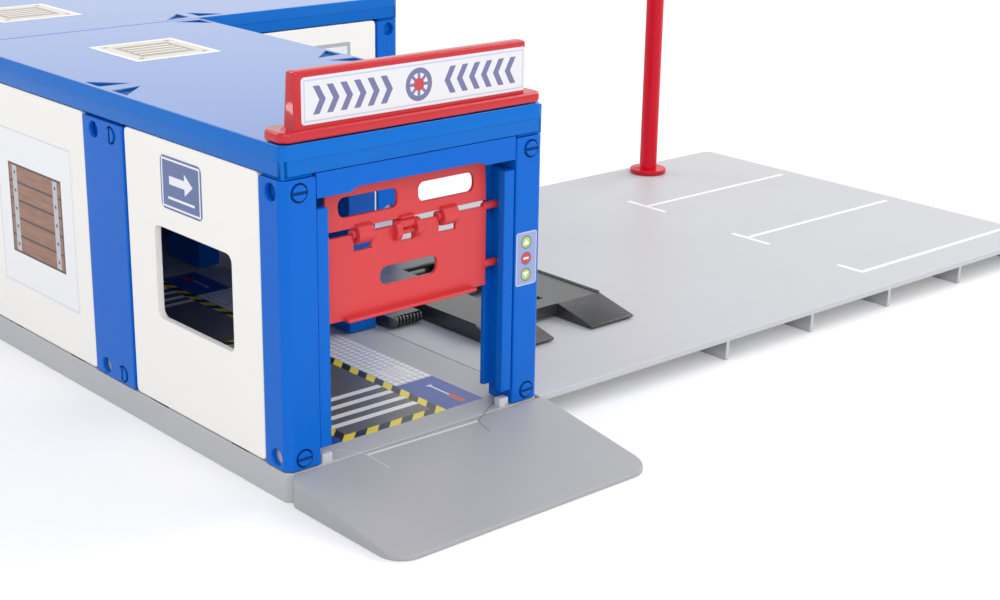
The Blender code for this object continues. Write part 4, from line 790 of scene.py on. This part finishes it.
boardPlan = {
    "front": 138.3, "back": 200.7, "low": 29.4, "high": 95.0, "face": 0.6, "rounding": 0.8,
    "card": (243, 244, 246), "line": (214, 216, 220), "margin": 1.0, "border": 0.25,
    "half": (21.5, 18.5),  # of the hatch's width and height
    "planks": 5, "gapHalf": 0.45, "rim": 0.9,
    "wood": (132, 86, 66), "pale": (166, 120, 94), "gap": (62, 38, 30),
    "grain": (1.4, 4.0, (1, 0.12, 1)), "grainFrom": 0.3, "grainRise": 2,
    "rail": (188, 192, 200), "railInset": 5, "railHalf": 1.8, "screw": 0.6, "gloss": 0.38,
}


def boardLook(centre, size):
    # a white card with a printed hatch of brown planks between two pale rails
    look = newLook("board_print")
    u, v = plateAxes(look, "left", centre)
    plan = boardPlan
    dark = shade(*plan["gap"])
    across, tall = plan["half"]
    border = filled(abs(rimGap(u, v, size, plan["margin"])) - plan["border"])
    card = look.mix(border, shade(*plan["card"]), shade(*plan["line"]))
    grain = rising(look.noise(*plan["grain"]), plan["grainFrom"], plan["grainRise"])
    wood = look.mix(grain, shade(*plan["wood"]), shade(*plan["pale"]))
    plank = 2 * tall / plan["planks"]
    offPlank = (v + tall).fromMiddle(plank)
    wood = look.mix(filled(plank / 2 - plan["gapHalf"] - offPlank), wood, dark)
    offRail = abs(abs(u) - across + plan["railInset"])
    wood = look.mix(filled(offRail - plan["railHalf"]), wood, shade(*plan["rail"]))
    wood = look.mix(filled(offRail.larger(offPlank) - plan["screw"]), wood, dark)
    hatch = boxGap(u, v, -across, across, -tall, tall)
    wood = look.mix(filled(0 - hatch - plan["rim"]), wood, dark)
    return printFinish(look, look.mix(filled(hatch), card, wood), plan["gloss"])


boardCentre, boardSize = middleOf(boardPlan, boardPlan["face"])
printedPlate("board_print", "left", boardCentre, boardSize, cards["thick"],
             boardPlan["rounding"], boardLook(boardCentre, boardSize))

control = {
    "left": 100.0, "right": 109.9, "low": 56.0, "high": 76.0, "rounding": 1.0, "column": 104.8,
    "ground": (152, 163, 204), "edge": (188, 196, 224), "edgeWidth": 0.5,
    "green": (172, 208, 100), "red": (205, 60, 70), "ring": (96, 104, 140),
    "mark": (244, 246, 240),
    "knob": 2.0, "ringWidth": 0.45, "bar": (1.25, 0.4), "tip": 1.1, "head": 2.0,
    "knobs": ((72.1, "up"), (66.1, "stop"), (60.0, "down")),
}


def controlLook(centre, size):
    # three printed push buttons: up, stop and down
    look = newLook("control_print")
    u, v = plateAxes(look, "front", centre)
    plan = control
    edge = filled(0 - rimGap(u, v, size, plan["edgeWidth"]))
    colour = look.mix(edge, shade(*plan["ground"]), shade(*plan["edge"]))
    across = plan["column"] - centre[0]
    for level, mark in plan["knobs"]:
        up = level - centre[2]
        ring = disc(u, v, across, up, plan["knob"] + plan["ringWidth"])
        colour = look.mix(ring, colour, shade(*plan["ring"]))
        tint = plan["red"] if mark == "stop" else plan["green"]
        colour = look.mix(disc(u, v, across, up, plan["knob"]), colour, shade(*tint))
        if mark == "stop":
            sign = middleBox(u - across, v - up, *plan["bar"])
        else:
            tip = up + plan["tip"] if mark == "up" else up - plan["tip"]
            sign = arrowHead(u, v, across, tip, plan["head"], mark)
        colour = look.mix(sign, colour, shade(*plan["mark"]))
    return printFinish(look, colour)


postFace = inMillimetres(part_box("front_right_post")[0])[1]
controlCentre, controlSize = middleOf(control, postFace)
printedPlate("control_print", "front", controlCentre, controlSize, cards["thick"],
             control["rounding"], controlLook(controlCentre, controlSize))

windowPlan = {
    "left": 150.0, "right": 196.5, "low": 62.0, "high": 102.6, "rounding": 0.8,
    "pane": (236, 238, 242), "sheen": (222, 228, 238), "bar": (176, 178, 184),
    "blotch": (16, 1.0, (1, 1, 0.4)), "sheenFrom": 0.4, "sheenRise": 2,
    "barHalf": 0.7, "frame": 1.8,
}


def windowLook(centre, size):
    # a printed window: grey frame and bars, pale panes
    look = newLook("window_print")
    u, v = plateAxes(look, "front", centre)
    plan = windowPlan
    sheen = rising(look.noise(*plan["blotch"]), plan["sheenFrom"], plan["sheenRise"])
    glass = look.mix(sheen, shade(*plan["pane"]), shade(*plan["sheen"]))
    bars = filled(abs(u) - plan["barHalf"]).larger(filled(abs(v) - plan["barHalf"]))
    bars = bars.larger(filled(0 - rimGap(u, v, size) - plan["frame"]))
    return printFinish(look, look.mix(bars, glass, shade(*plan["bar"])))


windowFace = inMillimetres(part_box("service_front_panel")[0])[1]
windowCentre, windowSize = middleOf(windowPlan, windowFace)
printedPlate("window_print", "front", windowCentre, windowSize, cards["thick"],
             windowPlan["rounding"], windowLook(windowCentre, windowSize))
print("stickers made")


bayPlan = {
    "left": 14.2, "right": 95.5, "front": 11.5, "back": 103.0,
    "mirrorLine": 111.0,  # y between the two places; the rear one is mirrored in it
    "thick": 0.12, "rounding": 1.0, "gloss": 0.34,
    "tile": (246, 246, 248), "joint": (168, 171, 180), "tilePitch": 3.0, "tileHalf": 1.28,
    "mat": (42, 78, 164), "matBack": 41.3,
    # the screwdriver and the card: left, right, front, back
    "handle": (86.6, 89.6, 15.0, 22.5), "handleEnd": (88.1, 15.2, 1.5),  # x, y, radius
    "shaft": (87.6, 88.6, 22.5, 34.0), "blade": (87.0, 89.2, 33.2, 34.6),
    "red": (196, 60, 60), "steel": (214, 218, 228),
    "card": (81.0, 92.5, 48.0, 58.5), "written": (83, 90.5, 40, 70),
    "linePitch": 2.2, "lineHalf": 0.3, "line": (140, 146, 168), "lineShare": 0.6,
    "frame": (31.2, 77.7), "band": 4.1, "block": 10.4, "blockStart": 6.0, "blockBlur": 0.3,
    "yellow": (244, 222, 40), "black": (36, 36, 36), "white": (244, 244, 240),
    "asphalt": (98, 98, 98), "asphaltSpeck": (116, 116, 114),
    "specks": (0.8, 2.0), "speckFrom": 0.45, "speckRise": 4, "speckShare": 0.5,
    "bars": (24.0, 31.0, 38.5, 45.5), "barWidth": 3.0,
}


def tiledGround(look, x, y):
    # white tiles with a blue mat on each side, a screwdriver and a card
    plan = bayPlan
    tiles = filled(x.fromMiddle(plan["tilePitch"]) - plan["tileHalf"]).smaller(
        filled(y.fromMiddle(plan["tilePitch"]) - plan["tileHalf"]))
    colour = look.mix(tiles, shade(*plan["joint"]), shade(*plan["tile"]))
    low, high = plan["frame"]
    mats = box(x, y, high, plan["right"], plan["front"], plan["matBack"])
    mats = mats.larger(box(x, y, plan["left"], low, plan["front"], plan["matBack"]))
    colour = look.mix(mats, colour, shade(*plan["mat"]))
    handle = box(x, y, *plan["handle"]).larger(disc(x, y, *plan["handleEnd"]))
    colour = look.mix(handle, colour, shade(*plan["red"]))
    shaft = box(x, y, *plan["shaft"]).larger(box(x, y, *plan["blade"]))
    colour = look.mix(shaft, colour, shade(*plan["steel"]))
    card = box(x, y, *plan["card"])
    colour = look.mix(card, colour, shade(*plan["white"]))
    lines = card * filled(y.fromMiddle(plan["linePitch"]) - plan["lineHalf"])
    lines = lines * box(x, y, *plan["written"])
    return look.mix(lines * plan["lineShare"], colour, shade(*plan["line"]))


def bayLook(name, mirrored):
    # a painted service place: asphalt with white bars in a hazard frame, on tiles
    look = newLook(name)
    plan = bayPlan
    x, y, z = look.axes()
    if mirrored:
        y = 2 * plan["mirrorLine"] - y
    colour = tiledGround(look, x, y)
    low, high = plan["frame"]
    outer = boxGap(x, y, low, high, plan["front"], plan["back"])
    specks = rising(look.noise(*plan["specks"]), plan["speckFrom"], plan["speckRise"])
    specks = specks * plan["speckShare"]
    asphalt = look.mix(specks, shade(*plan["asphalt"]), shade(*plan["asphaltSpeck"]))
    colour = look.mix(filled(outer), colour, asphalt)
    band = filled(outer) * filled(0 - outer - plan["band"])
    block = (x - y - plan["blockStart"]).fromMiddle(plan["block"])
    yellow = filled(block - plan["block"] / 4, plan["blockBlur"])  # on half of each block
    tape = look.mix(yellow, shade(*plan["black"]), shade(*plan["yellow"]))
    colour = look.mix(band, colour, tape)
    half = plan["barWidth"] / 2
    for middle in plan["bars"]:
        bar = box(x, y, low + plan["band"], high - plan["band"], middle - half, middle + half)
        colour = look.mix(bar, colour, shade(*plan["white"]))
    return printFinish(look, colour, plan["gloss"])


floorTop = inMillimetres(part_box("yard_plate")[1])[2]
baySize = (bayPlan["right"] - bayPlan["left"], bayPlan["back"] - bayPlan["front"])
bayAcross = (bayPlan["left"] + bayPlan["right"]) / 2
bayMiddle = (bayPlan["front"] + bayPlan["back"]) / 2
for name, along, mirrored in (("bay_print_front", bayMiddle, False),
                              ("bay_print_back", 2 * bayPlan["mirrorLine"] - bayMiddle, True)):
    printedPlate(name, "top", (bayAcross, along, floorTop), baySize, bayPlan["thick"],
                 bayPlan["rounding"], bayLook(name, mirrored))
print("floor sheets made")


studio = {
    "floorSide": 9.0, "floorTone": (238, 238, 240), "floorLift": 0.16,
    "cloud": (900, 2.0), "cloudTone": (235, 235, 238),
    "sky": 0.78,
    "lamps": {
        "keyLamp": {"place": (-1.3, -1.7, 1.5), "side": 1.2, "power": 14},
        "frontLamp": {"place": (0.3, -2.3, 0.75), "side": 1.0, "power": 7.5},
        "rightLamp": {"place": (1.5, -0.7, 1.65), "side": 0.5, "power": 2},
        "sideLamp": {"place": (1.3, 0.05, 0.95), "side": 0.7, "power": 7},
        "backLamp": {"place": (-0.7, 1.7, 1.5), "side": 0.6, "power": 5},
    },
    "aim": (0.14, 0.12, 0.05),
}


def whiteRays(look):
    # 1 for the rays that should meet a plain white ground, 0 for those that light the part
    path = look.add("ShaderNodeLightPath", {}, {})
    outs = path.socket.node.outputs
    seen = Wire(look, outs["Is Camera Ray"])
    glossy = Wire(look, outs["Is Glossy Ray"])
    through = Wire(look, outs["Is Transmission Ray"])
    return seen.larger(glossy).larger(through)


def studioFloor():
    form = bmesh.new()
    half = studio["floorSide"] / 2
    form.faces.new([form.verts.new((x * half, y * half, 0))
                    for x, y in ((-1, -1), (1, -1), (1, 1), (-1, 1))])
    mesh = bpy.data.meshes.new("studio_floor")
    form.to_mesh(mesh)
    form.free()
    look = newLook("studio_paper")
    tone = look.mix(look.noise(*studio["cloud"]), shade(*studio["floorTone"]),
                    shade(*studio["cloudTone"]))
    sheet = look.add("ShaderNodeBsdfDiffuse", {}, {"Color": tone})
    lift = look.add("ShaderNodeEmission", {}, {"Strength": whiteRays(look) * studio["floorLift"]})
    both = look.add("ShaderNodeAddShader", {}, {0: sheet, 1: lift})
    look.add("ShaderNodeOutputMaterial", {}, {"Surface": both})
    mesh.materials.append(look.owner)
    floor = bpy.data.objects.new("studio_floor", mesh)
    bpy.context.scene.collection.objects.link(floor)


def studioSky():
    world = bpy.data.worlds.new("studio_sky")
    bpy.context.scene.world = world
    look = Look(world)
    strength = studio["sky"] + whiteRays(look) * (1 - studio["sky"])
    sky = look.add("ShaderNodeBackground", {}, {"Color": (1, 1, 1, 1), "Strength": strength})
    look.add("ShaderNodeOutputWorld", {}, {"Surface": sky})


def studioLamps():
    for name, plan in studio["lamps"].items():
        light = bpy.data.lights.new(name, "AREA")
        light.size, light.energy = plan["side"], plan["power"]
        lamp = bpy.data.objects.new(name, light)
        lamp.location = plan["place"]
        towards = Vector(studio["aim"]) - lamp.location
        lamp.rotation_euler = towards.to_track_quat("-Z", "Y").to_euler()
        bpy.context.scene.collection.objects.link(lamp)


viewpoint = {"place": (-0.30522, -0.44320, 0.24811), "turn": (1.249017, -0.016365, -0.725339),
             "lens": 62.21, "sensor": 36.0, "clip": (0.01, 30)}


def photoCamera():
    lens = bpy.data.cameras.new("photo_camera")
    lens.lens, lens.sensor_width = viewpoint["lens"], viewpoint["sensor"]
    lens.clip_start, lens.clip_end = viewpoint["clip"]
    camera = bpy.data.objects.new("photo_camera", lens)
    camera.location = viewpoint["place"]
    camera.rotation_euler = Euler(viewpoint["turn"], "XYZ")
    bpy.context.scene.collection.objects.link(camera)
    bpy.context.scene.camera = camera


studioFloor()
studioSky()
studioLamps()
photoCamera()
bpy.context.scene.view_settings.view_transform = "Standard"
print("studio ready")
